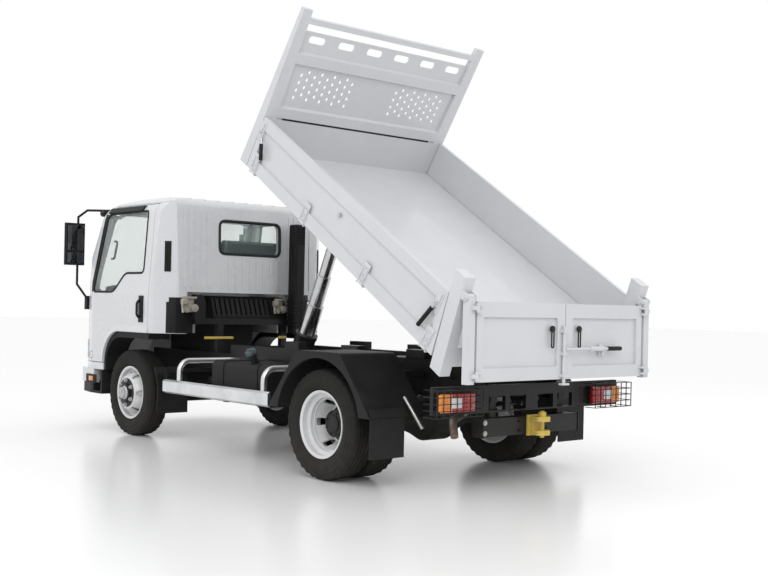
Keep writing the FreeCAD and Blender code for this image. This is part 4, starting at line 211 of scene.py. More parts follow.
def makeGlass(name):
    finish, tree, shader, place = startMaterial(name)
    tint = glassLook["tint"]
    rough = glassLook["rough"]
    haze = addNoise(tree, place, glassLook["hazeScale"])
    darker = [part * share for part, share in zip(tint, glassLook["shade"])]
    setInputs(tree, shader, {
        "Roughness": addRange(tree, haze, 0.0, 1.0, rough, rough + glassLook["film"]),
        "Base Color": addMix(tree, haze, (*tint, 1.0), (*darker, 1.0)), "IOR": glassLook["ior"],
        "Transmission Weight": glassLook["transmission"], "Alpha": glassLook["alpha"],
    })
    return finish


finishes = {name: makeFinish(name) for name in looks}
finishes["tinted glass"] = makeGlass("tinted_glass")
print("stage: materials made", len(finishes))

nodesByFinish = {
    "tyre rubber": "tyre_front_left tyre_front_right tyres_rear_left tyres_rear_right",
    "wheel enamel": "wheel_front_left wheel_front_right wheels_rear_left wheels_rear_right",
    "cast black": "front_axle knuckle_left knuckle_right rear_axle engine",
    "satin chassis black": "leaf_springs propeller_shaft frame subframe cab_mount tail_bar tow_beam "
                           "ram_barrel tail_lamps",
    "exhaust steel": "exhaust",
    "hard chrome": "ram_stage_1 ram_stage_2 ram_stage_3 ram_stage_4 ram_stage_5",
    "gloss white paint": "cab_floor cab_front cab_back cab_roof door_left door_right bumper",
    "bed white paint": "bed_floor bed_pillars headboard_frame headboard_panel sideboard_left sideboard_right "
                       "tailgate_posts tailgate_leaf_left tailgate_leaf_right tailgate_lock",
    "tinted glass": "cab_glass door_glass_left door_glass_right",
    "grained black plastic": "side_tanks mudguards valance grille dashboard mirrors rear_cover air_intake",
    "drawn aluminium": "side_guards",
    "lamp clear": "headlamps",
    "yellow casting": "tow_coupling",
    "seat cloth": "seats",
}
nodeFinish = {name: finish for finish, names in nodesByFinish.items() for name in names.split()}
for nodeName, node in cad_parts.items():
    node.data.materials.clear()
    node.data.materials.append(finishes[nodeFinish[nodeName]])
print("stage: carried nodes finished", len(nodeFinish))


# Building helpers

def pieceFromMesh(name, mesh, body, finish, smooth=30.0):
    piece = bpy.data.objects.new(name, mesh)
    bpy.context.scene.collection.objects.link(piece)
    mesh.materials.clear()
    mesh.materials.append(finishes[finish])
    mesh.shade_smooth()
    mesh.set_sharp_from_angle(angle=math.radians(smooth))
    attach(piece, body)
    return piece


def pieceFromBmesh(name, shape, body, finish, smooth=30.0):
    bmesh.ops.recalc_face_normals(shape, faces=shape.faces)
    mesh = bpy.data.meshes.new(name)
    shape.to_mesh(mesh)
    shape.free()
    return pieceFromMesh(name, mesh, body, finish, smooth)


def mergeInto(shape, part, matrix):
    bmesh.ops.transform(part, matrix=matrix, verts=part.verts)
    mesh = bpy.data.meshes.new("joining")
    part.to_mesh(mesh)
    part.free()
    shape.from_mesh(mesh)
    bpy.data.meshes.remove(mesh)


def addBlock(shape, centre, size, edge=0.004, turn=None):
    part = bmesh.new()
    bmesh.ops.create_cube(part, size=1.0)
    bmesh.ops.scale(part, vec=size, verts=part.verts)
    bmesh.ops.bevel(part, geom=part.edges[:], offset=edge, segments=2, affect="EDGES", profile=0.5)
    mergeInto(shape, part, Matrix.Translation(centre) @ (turn.to_4x4() if turn else Matrix.Identity(4)))


def addRod(shape, start, end, radius, sides=20, edge=0.0):
    part = bmesh.new()
    line = Vector(end) - Vector(start)
    bmesh.ops.create_cone(part, cap_ends=True, segments=sides, radius1=radius, radius2=radius,
            depth=line.length)
    if edge:
        rims = [e for e in part.edges if abs(e.verts[0].co.z - e.verts[1].co.z) < 1e-6]
        bmesh.ops.bevel(part, geom=rims, offset=edge, segments=2, affect="EDGES", profile=0.5)
    spin = line.to_track_quat("Z", "Y").to_matrix().to_4x4()
    mergeInto(shape, part, Matrix.Translation((Vector(start) + Vector(end)) / 2) @ spin)


def addPath(shape, points, radius, sides=12, closed=False):
    points = [Vector(p) for p in points]
    count = len(points)
    rings = []
    normal = None
    for index in range(count):
        if closed:
            ahead = points[(index + 1) % count] - points[index - 1]
        else:
            ahead = points[min(index + 1, count - 1)] - points[max(index - 1, 0)]
        ahead.normalize()
        if normal is None:
            normal = ahead.orthogonal().normalized()
        normal = (normal - ahead * normal.dot(ahead)).normalized()
        side = ahead.cross(normal)
        ring = []
        for step in range(sides):
            angle = 2 * math.pi * step / sides
            offset = (normal * math.cos(angle) + side * math.sin(angle)) * radius
            ring.append(shape.verts.new(points[index] + offset))
        rings.append(ring)
    for index in range(count if closed else count - 1):
        low = rings[index]
        high = rings[(index + 1) % count]
        for step in range(sides):
            after = (step + 1) % sides
            shape.faces.new((low[step], low[after], high[after], high[step]))
    if not closed:
        shape.faces.new(rings[0][::-1])
        shape.faces.new(rings[-1])


def rounded(points, radius, steps=6, closed=False):
    points = [Vector(p) for p in points]
    count = len(points)
    path = []
    for index in range(count):
        corner = points[index]
        if not closed and index in (0, count - 1):
            path.append(corner)
            continue
        back = points[index - 1] - corner
        ahead = points[(index + 1) % count] - corner
        reach = min(radius, back.length * 0.49, ahead.length * 0.49)
        start = corner + back.normalized() * reach
        end = corner + ahead.normalized() * reach
        for step in range(steps + 1):
            t = step / steps
            path.append(start * (1 - t) ** 2 + corner * 2 * t * (1 - t) + end * t ** 2)
    return path


# Tyres, which stand for the plain ones of the frame

tyreForm = {
    "steps": 144, "groove": 0.009, "grooveWidth": 0.008, "grooves": (-0.048, -0.017, 0.017, 0.048),
    "beadHalf": 0.0765, "lugDepth": 0.007, "shoulder": 0.0045, "crown": 0.0035,
}


def tyreProfile():
    half = layout["tyreWidth"] / 2
    top = layout["tyreRadius"]
    seat = layout["rimRadius"] - 0.012
    bead = tyreForm["beadHalf"]
    side = [(-bead, seat), (-bead, seat + 0.014), (-half * 0.90, seat + 0.030), (-half * 0.97, seat + 0.05),
            (-half * 0.995, seat + 0.072), (-half, seat + 0.076), (-half, seat + 0.082),
            (-half * 0.985, seat + 0.086), (-half * 0.975, top - 0.055), (-half * 0.985, top - 0.052),
            (-half * 0.985, top - 0.046), (-half * 0.95, top - 0.040), (-half * 0.90, top - 0.022),
            (-half * 0.84, top - 0.010)]
    tread = [(-half * 0.78, top - tyreForm["shoulder"])]
    width = tyreForm["grooveWidth"] / 2
    for centre in tyreForm["grooves"]:
        level = top - tyreForm["crown"] * (centre / half) ** 2 - 0.0005
        floor = level - tyreForm["groove"]
        tread += [(centre - width, level), (centre - width * 0.5, floor), (centre + width * 0.5, floor),
                (centre + width, level)]
    tread.append((half * 0.78, top - tyreForm["shoulder"]))
    return side + tread + [(-x, r) for x, r in side[::-1]]


def addTyre(shape, centre):
    section = tyreProfile()
    steps = tyreForm["steps"]
    half = layout["tyreWidth"] / 2
    rings = []
    for step in range(steps):
        angle = 2 * math.pi * step / steps
        notch = step % 4 in (0, 1)
        ring = []
        for x, radius in section:
            r = radius
            if notch and half * 0.76 < abs(x) < half * 0.92 and radius > layout["tyreRadius"] - 0.03:
                r -= tyreForm["lugDepth"]
            ring.append(shape.verts.new(centre + Vector((x, r * math.cos(angle), r * math.sin(angle)))))
        rings.append(ring)
    for step in range(steps):
        low = rings[step]
        high = rings[(step + 1) % steps]
        for index in range(len(section)):
            after = (index + 1) % len(section)
            shape.faces.new((low[index], high[index], high[after], low[after]))


def makeTyres():
    z = layout["tyreRadius"]
    for side, word in bothSides:
        front = bmesh.new()
        addTyre(front, Vector((side * layout["frontTrack"] / 2, frontAxleY, z)))
        piece = pieceFromBmesh("tread_front_" + word, front, "front_wheel_" + word, "tyre rubber", 40)
        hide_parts("tyre_front_" + word)
        rear = bmesh.new()
        for offset in (-0.5, 0.5):
            x = side * (layout["rearTrack"] / 2 + offset * layout["dualSpacing"])
            addTyre(rear, Vector((x, rearAxleY, z)))
        piece = pieceFromBmesh("treads_rear_" + word, rear, "rear_wheels_" + word, "tyre rubber", 40)
        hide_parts("tyres_rear_" + word)


makeTyres()
print("stage: tyres made")

# Rays that find places on the carried nodes

skins = {}


def skinOf(*names):
    if names not in skins:
        corners = []
        faces = []
        for name in names:
            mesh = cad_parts[name].data
            start = len(corners)
            corners += [v.co.copy() for v in mesh.vertices]
            faces += [tuple(start + i for i in face.vertices) for face in mesh.polygons]
        skins[names] = BVHTree.FromPolygons(corners, faces)
    return skins[names]


def touch(tree, origin, direction, fallback):
    hit = tree.ray_cast(Vector(origin), Vector(direction))[0]
    return hit if hit is not None else Vector(fallback)


def touchSide(tree, side, y, z, fallback):
    spot = at(0, y, z)
    return touch(tree, (side * 1.5, spot.y, spot.z), (-side, 0, 0), (side * fallback, spot.y, spot.z))


# Geometry Nodes that repeat a fastener on a ring or along a line

def startTree(name, inputs):
    tree = bpy.data.node_groups.new(name, "GeometryNodeTree")
    tree.interface.new_socket("Geometry", in_out="OUTPUT", socket_type="NodeSocketGeometry")
    ids = {}
    for label, value in inputs.items():
        kind = "NodeSocketInt" if isinstance(value, int) else "NodeSocketFloat"
        socket = tree.interface.new_socket(label, in_out="INPUT", socket_type=kind)
        socket.default_value = value
        ids[label] = socket.identifier
    return tree, ids, tree.nodes.new("NodeGroupInput").outputs


def endTree(tree, points, shapes, finish):
    group = addNode(tree, "GeometryNodeJoinGeometry", {})
    for shape in shapes:
        tree.links.new(shape.outputs["Mesh"], group.inputs["Geometry"])
    spread = addNode(tree, "GeometryNodeInstanceOnPoints",
            {"Points": points.outputs["Mesh"], "Instance": group.outputs["Geometry"]})
    real = addNode(tree, "GeometryNodeRealizeInstances", {"Geometry": spread.outputs["Instances"]})
    coat = addNode(tree, "GeometryNodeSetMaterial",
            {"Geometry": real.outputs["Geometry"], "Material": finishes[finish]})
    addNode(tree, "NodeGroupOutput", {"Geometry": coat.outputs["Geometry"]})


def settledMesh(name, tree, values):
    holder = bpy.data.objects.new(name + "_maker", bpy.data.meshes.new(name + "_seed"))
    bpy.context.scene.collection.objects.link(holder)
    modifier = holder.modifiers.new("shape", "NODES")
    modifier.node_group = tree
    for identifier, value in values.items():
        modifier[identifier] = value
    graph = bpy.context.evaluated_depsgraph_get()
    mesh = bpy.data.meshes.new_from_object(holder.evaluated_get(graph))
    holder.modifiers.remove(modifier)
    bpy.data.objects.remove(holder)
    mesh.name = name
    return mesh


# Wheel nuts

nutForm = {
    "count": 6, "circle": 0.107, "nutRadius": 0.0155, "nutLength": 0.018, "taper": 0.94,
    "studRadius": 0.008, "studLength": 0.022, "washer": 1.25, "washerDepth": 0.006, "rearFace": 0.009,
    "standOff": 0.007,
}


def nutTree():
    tree, ids, given = startTree("wheel_nut_ring",
            {"Nuts": nutForm["count"], "Circle": nutForm["circle"], "Nut radius": nutForm["nutRadius"],
            "Nut length": nutForm["nutLength"]})
    ring = addNode(tree, "GeometryNodeMeshCircle", {"Vertices": given["Nuts"], "Radius": given["Circle"]})
    narrow = scaled(tree, given["Nut radius"], nutForm["taper"])
    nut = addNode(tree, "GeometryNodeMeshCone",
            {"Vertices": 6, "Radius Bottom": given["Nut radius"], "Radius Top": narrow,
            "Depth": given["Nut length"]})
    stud = addNode(tree, "GeometryNodeMeshCylinder",
            {"Vertices": 14, "Radius": nutForm["studRadius"], "Depth": nutForm["studLength"] * 2})
    washer = addNode(tree, "GeometryNodeMeshCylinder",
            {"Vertices": 24, "Depth": nutForm["washerDepth"],
            "Radius": nutForm["nutRadius"] * nutForm["washer"]})
    endTree(tree, ring, (nut, stud, washer), "hub grey")
    return tree, ids


def makeNuts():
    tree, ids = nutTree()
    values = {ids["Nuts"]: nutForm["count"], ids["Circle"]: nutForm["circle"]}
    frontFace = layout["frontTrack"] / 2 + layout["dualSpacing"] / 2
    rearFace = layout["rearTrack"] / 2 + nutForm["rearFace"]
    for axle, x, y in (("front_wheel_", frontFace, frontAxleY), ("rear_wheels_", rearFace, rearAxleY)):
        for side, word in bothSides:
            body = axle + word
            mesh = settledMesh("nuts_" + body, tree, values)
            turn = turned(90 * side, 4, "Y")
            place = (side * (x + nutForm["standOff"]), y, layout["tyreRadius"])
            mesh.transform(Matrix.Translation(place) @ turn)
            pieceFromMesh("nuts_" + body, mesh, body, "hub grey", 30)


makeNuts()

# Hubs: a flange and a boss, with a cap in front and a ring of bolts behind

hubForm = {
    "flangeRadius": 0.128, "flangeBack": 0.002, "flangeFront": 0.006, "sink": 0.0005, "frontFace": 0.920,
    "frontBoss": 0.0845, "frontStep": 0.9450, "capRadius": 0.0515, "capEnd": 0.9735, "rearFace": 0.859,
    "rearRadius": 0.0945, "rearEnd": 0.9440, "rearCap": 0.060, "rearCapDepth": 0.008, "bolts": 8,
    "boltCircle": 0.077, "boltRadius": 0.007, "boltDepth": 0.007,
}


def addAxleRod(shape, side, y, start, end, radius, sides, edge=0.0, up=0.0):
    z = layout["tyreRadius"] + up
    addRod(shape, at(side * start, y, z), at(side * end, y, z), radius, sides, edge)


def addFlange(shape, side, y, face):
    addAxleRod(shape, side, y, face - hubForm["flangeBack"], face + hubForm["flangeFront"],
            hubForm["flangeRadius"], 56, 0.003)


def makeFrontHub(side, word):
    y = -layout["wheelbase"]
    body = "front_wheel_" + word
    face = hubForm["frontFace"]
    step = hubForm["frontStep"]
    boss = bmesh.new()
    addFlange(boss, side, y, face)
    addAxleRod(boss, side, y, face + hubForm["sink"], step, hubForm["frontBoss"], 48, 0.004)
    pieceFromBmesh("hub_boss_front_" + word, boss, body, "satin chassis black", 35)
    cap = bmesh.new()
    addAxleRod(cap, side, y, step - 0.001, hubForm["capEnd"], hubForm["capRadius"], 40, 0.006)
    pieceFromBmesh("hub_cap_front_" + word, cap, body, "hub grey", 35)


def makeRearHub(side, word):
    face = hubForm["rearFace"]
    end = hubForm["rearEnd"]
    rear = bmesh.new()
    addFlange(rear, side, 0.0, face)
    addAxleRod(rear, side, 0.0, face + hubForm["sink"], end, hubForm["rearRadius"], 48, 0.006)
    addAxleRod(rear, side, 0.0, end, end + hubForm["rearCapDepth"], hubForm["rearCap"], 36, 0.003)
    for step in range(hubForm["bolts"]):
        angle = 2 * math.pi * (step + 0.5) / hubForm["bolts"]
        addAxleRod(rear, side, hubForm["boltCircle"] * math.cos(angle), end, end + hubForm["boltDepth"],
                hubForm["boltRadius"], 6, 0.0, hubForm["boltCircle"] * math.sin(angle))
    pieceFromBmesh("hub_boss_rear_" + word, rear, "rear_wheels_" + word, "satin chassis black", 35)


for side, word in bothSides:
    makeFrontHub(side, word)
    makeRearHub(side, word)
print("stage: wheel nuts made")

# Window rubbers and door handles

cabTrim = {
    "rubber": 0.011, "rubberSink": 0.004, "doorFront": -3.84, "doorRear": -2.64, "doorTop": 2.06,
    "belt": 1.26, "doorMiddle": (-3.24, 1.65), "doorReach": 1.02, "cornerRadius": 0.05, "rearRubber": 0.014,
    "glassHalf": 0.33, "glassLow": 1.64, "glassTop": 1.935, "glassMiddle": 1.79, "glassReach": (1.04, 1.06),
    "glassCorner": 0.06, "cabRear": -2.42,
}
handleForm = {
    "y": -2.757, "low": 1.03, "top": 1.235, "plate": (0.010, 0.078, 0.03), "gripY": -0.018,
    "gripOut": 0.034, "gripRadius": 0.011, "lockY": 0.016, "lockRadius": 0.010,
}


def sideWindowPath():
    front = cabTrim["doorFront"]
    rear = cabTrim["doorRear"]
    low = cabTrim["belt"] + 0.02
    step = cabTrim["belt"] + 0.19
    top = cabTrim["doorTop"] - 0.06
    corners = [(front + 0.165, low), (front + 0.56, low), (front + 0.76, step), (rear - 0.11, step),
            (rear - 0.11, top), (front + 0.345, top)]
    return [(0.0, y, z) for y, z in corners]


def densified(points, gap=0.03):
    path = []
    count = len(points)
    for index in range(count):
        start = Vector(points[index])
        end = Vector(points[(index + 1) % count])
        steps = max(1, int((end - start).length / gap))
        path += [start.lerp(end, step / steps) for step in range(steps)]
    return path


def makeDoorRubber(side, word):
    tree = skinOf("door_" + word)
    middleY, middleZ = cabTrim["doorMiddle"]
    reach = cabTrim["doorReach"]    # the rays meet the door just outside its window
    path = []
    for point in densified(rounded(sideWindowPath(), cabTrim["cornerRadius"], 6, True)):
        hit = touchSide(tree, side, (point.y - middleY) * reach + middleY,
                (point.z - middleZ) * reach + middleZ, 0.9)
        spot = at(0, point.y, point.z)
        path.append(Vector((hit.x - side * cabTrim["rubberSink"], spot.y, spot.z)))
    shape = bmesh.new()
    addPath(shape, path, cabTrim["rubber"], 10, True)
    pieceFromBmesh("window_rubber_" + word, shape, word + "_door", "weather rubber", 60)


def makeRearRubber():
    tree = skinOf("cab_back")
    half = cabTrim["glassHalf"]
    low = cabTrim["glassLow"]
    top = cabTrim["glassTop"]
    middle = cabTrim["glassMiddle"]
    wide, tall = cabTrim["glassReach"]
    corners = [(-half, 0, low), (half, 0, low), (half, 0, top), (-half, 0, top)]
    path = []
    for point in densified(rounded(corners, cabTrim["glassCorner"], 6, True)):
        hit = touch(tree, (point.x * wide, rearAxleY, (point.z - middle) * tall + middle), (0, -1, 0),
                at(point.x, cabTrim["cabRear"], point.z))
        path.append(Vector((point.x, hit.y - cabTrim["rubberSink"], point.z)))
    shape = bmesh.new()
    addPath(shape, path, cabTrim["rearRubber"], 12, True)
    pieceFromBmesh("rear_window_rubber", shape, "chassis", "weather rubber", 60)


def makeDoorHandle(side, word):
    y = handleForm["y"]
    low = handleForm["low"]
    top = handleForm["top"]
    middle = (low + top) / 2
    thick, wide, margin = handleForm["plate"]
    x = touchSide(skinOf("door_" + word), side, y, middle, 0.92).x
    out = x + side * handleForm["gripOut"]
    gripY = y + handleForm["gripY"]
    lockY = y + handleForm["lockY"]
    shape = bmesh.new()
    addBlock(shape, at(x + side * 0.004, y, middle), (thick, wide, top - low + margin), 0.004)
    grip = [at(x, gripY, low + 0.02), at(out, gripY, low + 0.045), at(out, gripY, top - 0.045),
            at(x, gripY, top - 0.02)]
    addPath(shape, rounded(grip, 0.03), handleForm["gripRadius"], 12)
    addRod(shape, at(x + side * 0.002, lockY, low + 0.03), at(x + side * 0.013, lockY, low + 0.03),
            handleForm["lockRadius"])
    pieceFromBmesh("door_handle_" + word, shape, word + "_door", "grained black plastic", 40)


for side, word in bothSides:
    makeDoorRubber(side, word)
makeRearRubber()
for side, word in bothSides:
    makeDoorHandle(side, word)

# Strips on the doors, trim on the cab's corners, gutters and wipers

stripForm = {
    "steps": 16, "pillarWidth": 0.034, "pillarGap": 0.011, "pillarLift": 0.003, "deflectorLow": 2.008,
    "deflectorTop": 2.054, "deflectorFront": -3.495, "deflectorRear": -2.86, "deflectorLift": 0.020,
    "lamp": ((0.908, -3.684, 0.688), (0.921, -3.686, 0.688)), "lampRadius": 0.030, "bezelX": 0.9155,
    "bezelRadius": 0.033, "bezelThick": 0.0045,
}
trimForm = {
    "vent": (0.8200, -2.4885, 1.595), "ventSize": (0.008, 0.058, 0.265), "louvres": 9,
    "louvre": (0.8235, -2.4850), "louvreSize": (0.008, 0.044, 0.010), "louvreSpan": 0.9,
    "slanted": (((0.8045, -2.4735, 1.065), (0.008, 0.056, 0.27), 0.0025),
                ((0.787, -2.4555, 1.085), (0.006, 0.060, 0.31), 0.002)),
    "straight": (((0.688, -2.4215, 1.085), (0.176, 0.012, 0.31), 0.003),
                 ((0.9215, -3.665, 0.468), (0.007, 0.200, 0.080), 0.002)),
    "mirrorRoot": ((0.836, -3.672, 2.018), (0.850, -3.580, 2.012)), "rootRadius": 0.030,
    "grabHandle": ((0.785, -3.520, 1.755), (0.785, -3.468, 1.750), (0.800, -3.492, 1.590),
                   (0.800, -3.545, 1.590)), "grabRadius": 0.011,
    "marker": (0.9245, -3.665, 0.468), "markerSize": (0.008, 0.078, 0.044),
}
gutterForm = {
    "front": -3.46, "length": 0.97, "level": 2.078, "steps": 20, "radius": 0.0055, "lift": 0.002,
}
wiperForm = {
    "blades": ((0.62, 0.02, 0.60), (-0.02, -0.62, -0.04)),     # pivot, far end and near end
    "lean": (0.0, -0.91, 0.41), "pivotLevel": 1.262, "elbowLevel": 1.285, "armLevel": 1.362,
    "bladeLevel": 1.335, "bladeRise": 0.05, "steps": 10, "bladeRadius": 0.005, "armRadius": 0.006,
    "pivotRadius": 0.016,
}


def addRibbon(shape, tree, side, nearEdge, farEdge, lift):
    rows = []
    for near, far in zip(nearEdge, farEdge):
        hits = [touchSide(tree, side, y, z, 0.88) for y, z in (near, far)]
        tops = [hit + Vector((side * lift, 0, 0)) for hit in hits]
        feet = [hit - Vector((side * 0.003, 0, 0)) for hit in hits]
        rows.append([shape.verts.new(place) for place in (tops[0], tops[1], feet[1], feet[0])])
    for low, high in zip(rows, rows[1:]):
        for index in range(4):
            after = (index + 1) % 4
            shape.faces.new((low[index], low[after], high[after], high[index]))
    shape.faces.new(rows[0][::-1])
    shape.faces.new(rows[-1])


def makeDoorStrips(side, word):
    form = stripForm
    tree = skinOf("door_" + word)
    body = word + "_door"
    shares = [step / form["steps"] for step in range(form["steps"] + 1)]
    window = sideWindowPath()
    foot = window[0]
    head = window[-1]
    strip = bmesh.new()
    near = [(foot[1] + (head[1] - foot[1]) * t - form["pillarGap"], foot[2] + (head[2] - foot[2]) * t)
            for t in shares]
    addRibbon(strip, tree, side, near, [(y - form["pillarWidth"], z) for y, z in near], form["pillarLift"])
    along = [form["deflectorFront"] + (form["deflectorRear"] - form["deflectorFront"]) * t for t in shares]
    addRibbon(strip, tree, side, [(y, form["deflectorLow"]) for y in along],
            [(y, form["deflectorTop"]) for y in along], form["deflectorLift"])
    pieceFromBmesh("door_strips_" + word, strip, body, "grained black plastic", 35)
    inner, outer = form["lamp"]
    lamp = bmesh.new()
    addRod(lamp, onSide(side, inner), onSide(side, outer), form["lampRadius"], 32, 0.005)
    pieceFromBmesh("side_lamp_" + word, lamp, body, "lamp clear", 35)
    lampY = (inner[1] + outer[1]) / 2
    ring = []
    for step in range(32):
        angle = 2 * math.pi * step / 32
        ring.append(at(side * form["bezelX"], lampY + form["bezelRadius"] * math.cos(angle),
                inner[2] + form["bezelRadius"] * math.sin(angle)))
    bezel = bmesh.new()
    addPath(bezel, ring, form["bezelThick"], 8, True)
    pieceFromBmesh("side_lamp_bezel_" + word, bezel, body, "hub grey", 50)


def makeCornerTrim():
    form = trimForm
    tall = form["ventSize"][2]
    shape = bmesh.new()
    for side in (1, -1):
        turn = turned(45.0 if side > 0 else 135.0, 3, "Z")
        addBlock(shape, onSide(side, form["vent"]), form["ventSize"], 0.0025, turn)
        for index in range(form["louvres"]):
            level = form["vent"][2] + tall * ((index + 0.5) / form["louvres"] - 0.5) * form["louvreSpan"]
            addBlock(shape, onSide(side, (*form["louvre"], level)), form["louvreSize"], 0.002, turn)
        for place, size, edge in form["slanted"]:
            addBlock(shape, onSide(side, place), size, edge, turn)
        for place, size, edge in form["straight"]:
            addBlock(shape, onSide(side, place), size, edge)
        low, top = form["mirrorRoot"]
        addRod(shape, onSide(side, low), onSide(side, top), form["rootRadius"], 24, 0.010)
        handle = rounded([onSide(side, place) for place in form["grabHandle"]], 0.03)
        addPath(shape, handle, form["grabRadius"], 12)
    pieceFromBmesh("corner_trim", shape, "chassis", "grained black plastic", 35)
    amber = bmesh.new()
    for side in (1, -1):
        addBlock(amber, onSide(side, form["marker"]), form["markerSize"], 0.003)
    pieceFromBmesh("marker_lamps", amber, "chassis", "lamp amber", 35)


def makeRoofGutter():
    form = gutterForm
    tree = skinOf("cab_roof")
    shape = bmesh.new()
    for side in (1, -1):
        path = []
        for step in range(form["steps"] + 1):
            y = form["front"] + form["length"] * step / form["steps"]
            path.append(touchSide(tree, side, y, form["level"], 0.79) + Vector((side * form["lift"], 0, 0)))
        addPath(shape, path, form["radius"], 10)
    pieceFromBmesh("roof_gutters", shape, "chassis", "gloss white paint", 50)


def onScreen(x, z, lift):
    hit = touch(skinOf("cab_glass", "cab_front"), (x, at(0, -6.0, 0).y, z), (0, 1, 0), at(x, -3.84, z))
    return hit + Vector(wiperForm["lean"]) * lift


def makeWipers():
    form = wiperForm
    steps = form["steps"]
    shape = bmesh.new()
    for pivot, start, end in form["blades"]:
        blade = [onScreen(start + (end - start) * step / steps,
                form["bladeLevel"] + form["bladeRise"] * (1 - step / steps), 0.010)
                for step in range(steps + 1)]
        addPath(shape, blade, form["bladeRadius"], 8)
        foot = onScreen(pivot, form["pivotLevel"], 0.010)
        elbow = onScreen(pivot - 0.05, form["elbowLevel"], 0.022)
        addPath(shape, [foot, elbow, onScreen((start + end) / 2, form["armLevel"], 0.020)],
                form["armRadius"], 8)
        addRod(shape, onScreen(pivot, form["pivotLevel"], -0.004),
                onScreen(pivot, form["pivotLevel"], 0.020), form["pivotRadius"], 16, 0.003)
    pieceFromBmesh("wipers", shape, "chassis", "grained black plastic", 50)


for side, word in bothSides:
    makeDoorStrips(side, word)
makeCornerTrim()
makeRoofGutter()
makeWipers()
print("stage: cab trim made")

# Latch castings behind the cab, fuel cap, mudguard stays and bolt rows

latchForm = {
    "places": ((0.660, 1.0), (-0.300, 0.8)),       # middle and share of the full width
    "plate": (-2.394, 1.175), "block": (-2.378, 1.205), "bar": (-2.370, 1.240), "drumX": -0.045,
    "drumLevel": 1.150, "drum": (-2.400, -2.352), "drumRadius": 0.034, "nutEnd": -2.343,
    "tags": (((0.365, -2.357, 0.892), (0.300, 0.012, 0.022)),
             ((-0.325, -2.357, 0.895), (0.090, 0.012, 0.024))),
}
capForm = {
    "top": (0.8385, -1.19, 0.8360), "axis": (0.55, 0.0, 0.835), "depth": 0.034, "radius": 0.0435,
    "grip": (0.066, 0.016, 0.014), "gripRise": 0.006,
}
stayForm = {
    "top": (0.745, 0.500, 0.600), "foot": (0.700, 0.640, 0.395), "radius": 0.014,
}
boltForm = {
    "radius": 0.011, "height": 0.008, "washer": 1.35, "washerDepth": 0.004, "railX": 0.375,
    "railStart": -2.28, "levels": (0.620, 0.720), "railCount": 24, "railPitch": 0.13,
    "beam": (0.475, 0.997, 0.385), "beamCount": 2, "beamPitch": 0.07, "beamRadius": 0.013,
}


def addLatch(shape, x, reach):
    form = latchForm
    drum = x + form["drumX"] * reach
    back, front = form["drum"]
    level = form["drumLevel"]
    pin = x + 0.030 * reach
    addBlock(shape, at(x, *form["plate"]), (0.105 * reach, 0.030, 0.120), 0.008)
    addBlock(shape, at(x + 0.052 * reach, *form["block"]), (0.060, 0.046, 0.052), 0.010)
    addRod(shape, at(drum, back, level), at(drum, front, level), form["drumRadius"], 28, 0.006)
    addRod(shape, at(drum, front, level), at(drum, form["nutEnd"], level), 0.016, 6)
    addRod(shape, at(pin, -2.390, 1.130), at(pin, -2.356, 1.130), 0.020, 20, 0.004)
    addBlock(shape, at(x, *form["bar"]), (0.150 * reach, 0.014, 0.020), 0.003)
    addRod(shape, at(x + 0.075 * reach, -2.386, 1.225), at(x + 0.075 * reach, -2.362, 1.110), 0.009, 14)


def makeCabLatches():
    shape = bmesh.new()
    for x, reach in latchForm["places"]:
        addLatch(shape, x, reach)
    pieceFromBmesh("cab_latches", shape, "chassis", "latch casting", 35)
    yellow = bmesh.new()
    for place, size in latchForm["tags"]:
        addBlock(yellow, at(*place), size, 0.003)
    pieceFromBmesh("cab_mount_tags", yellow, "chassis", "yellow casting", 35)


def makeFuelCap():
    shape = bmesh.new()
    axis = Vector(capForm["axis"])
    top = at(*capForm["top"])
    addRod(shape, top - axis * capForm["depth"], top, capForm["radius"], 32, 0.005)
    addBlock(shape, top + axis * capForm["gripRise"], capForm["grip"], 0.004,
            axis.to_track_quat("Z", "Y").to_matrix())
    pieceFromBmesh("fuel_cap", shape, "chassis", "cap green", 35)


def makeMudguardStays():
    shape = bmesh.new()
    for side in (1, -1):
        top = onSide(side, stayForm["top"])
        addRod(shape, top, onSide(side, stayForm["foot"]), stayForm["radius"], 20, 0.003)
    pieceFromBmesh("mudguard_stays", shape, "chassis", "zinc steel", 35)


def boltTree():
    tree, ids, given = startTree("bolt_row", {"Bolts": 4, "Pitch": 0.1, "Head radius": boltForm["radius"],
            "Head height": boltForm["height"]})
    offset = addNode(tree, "ShaderNodeCombineXYZ", {"X": given["Pitch"]})
    line = addNode(tree, "GeometryNodeMeshLine",
            {"Count": given["Bolts"], "Offset": offset.outputs["Vector"]})
    head = addNode(tree, "GeometryNodeMeshCylinder",
            {"Vertices": 6, "Radius": given["Head radius"],
            "Depth": scaled(tree, given["Head height"], 2.0)})
    washer = addNode(tree, "GeometryNodeMeshCylinder",
            {"Vertices": 20, "Depth": boltForm["washerDepth"],
            "Radius": scaled(tree, given["Head radius"], boltForm["washer"])})
    endTree(tree, line, (head, washer), "satin chassis black")
    return tree, ids


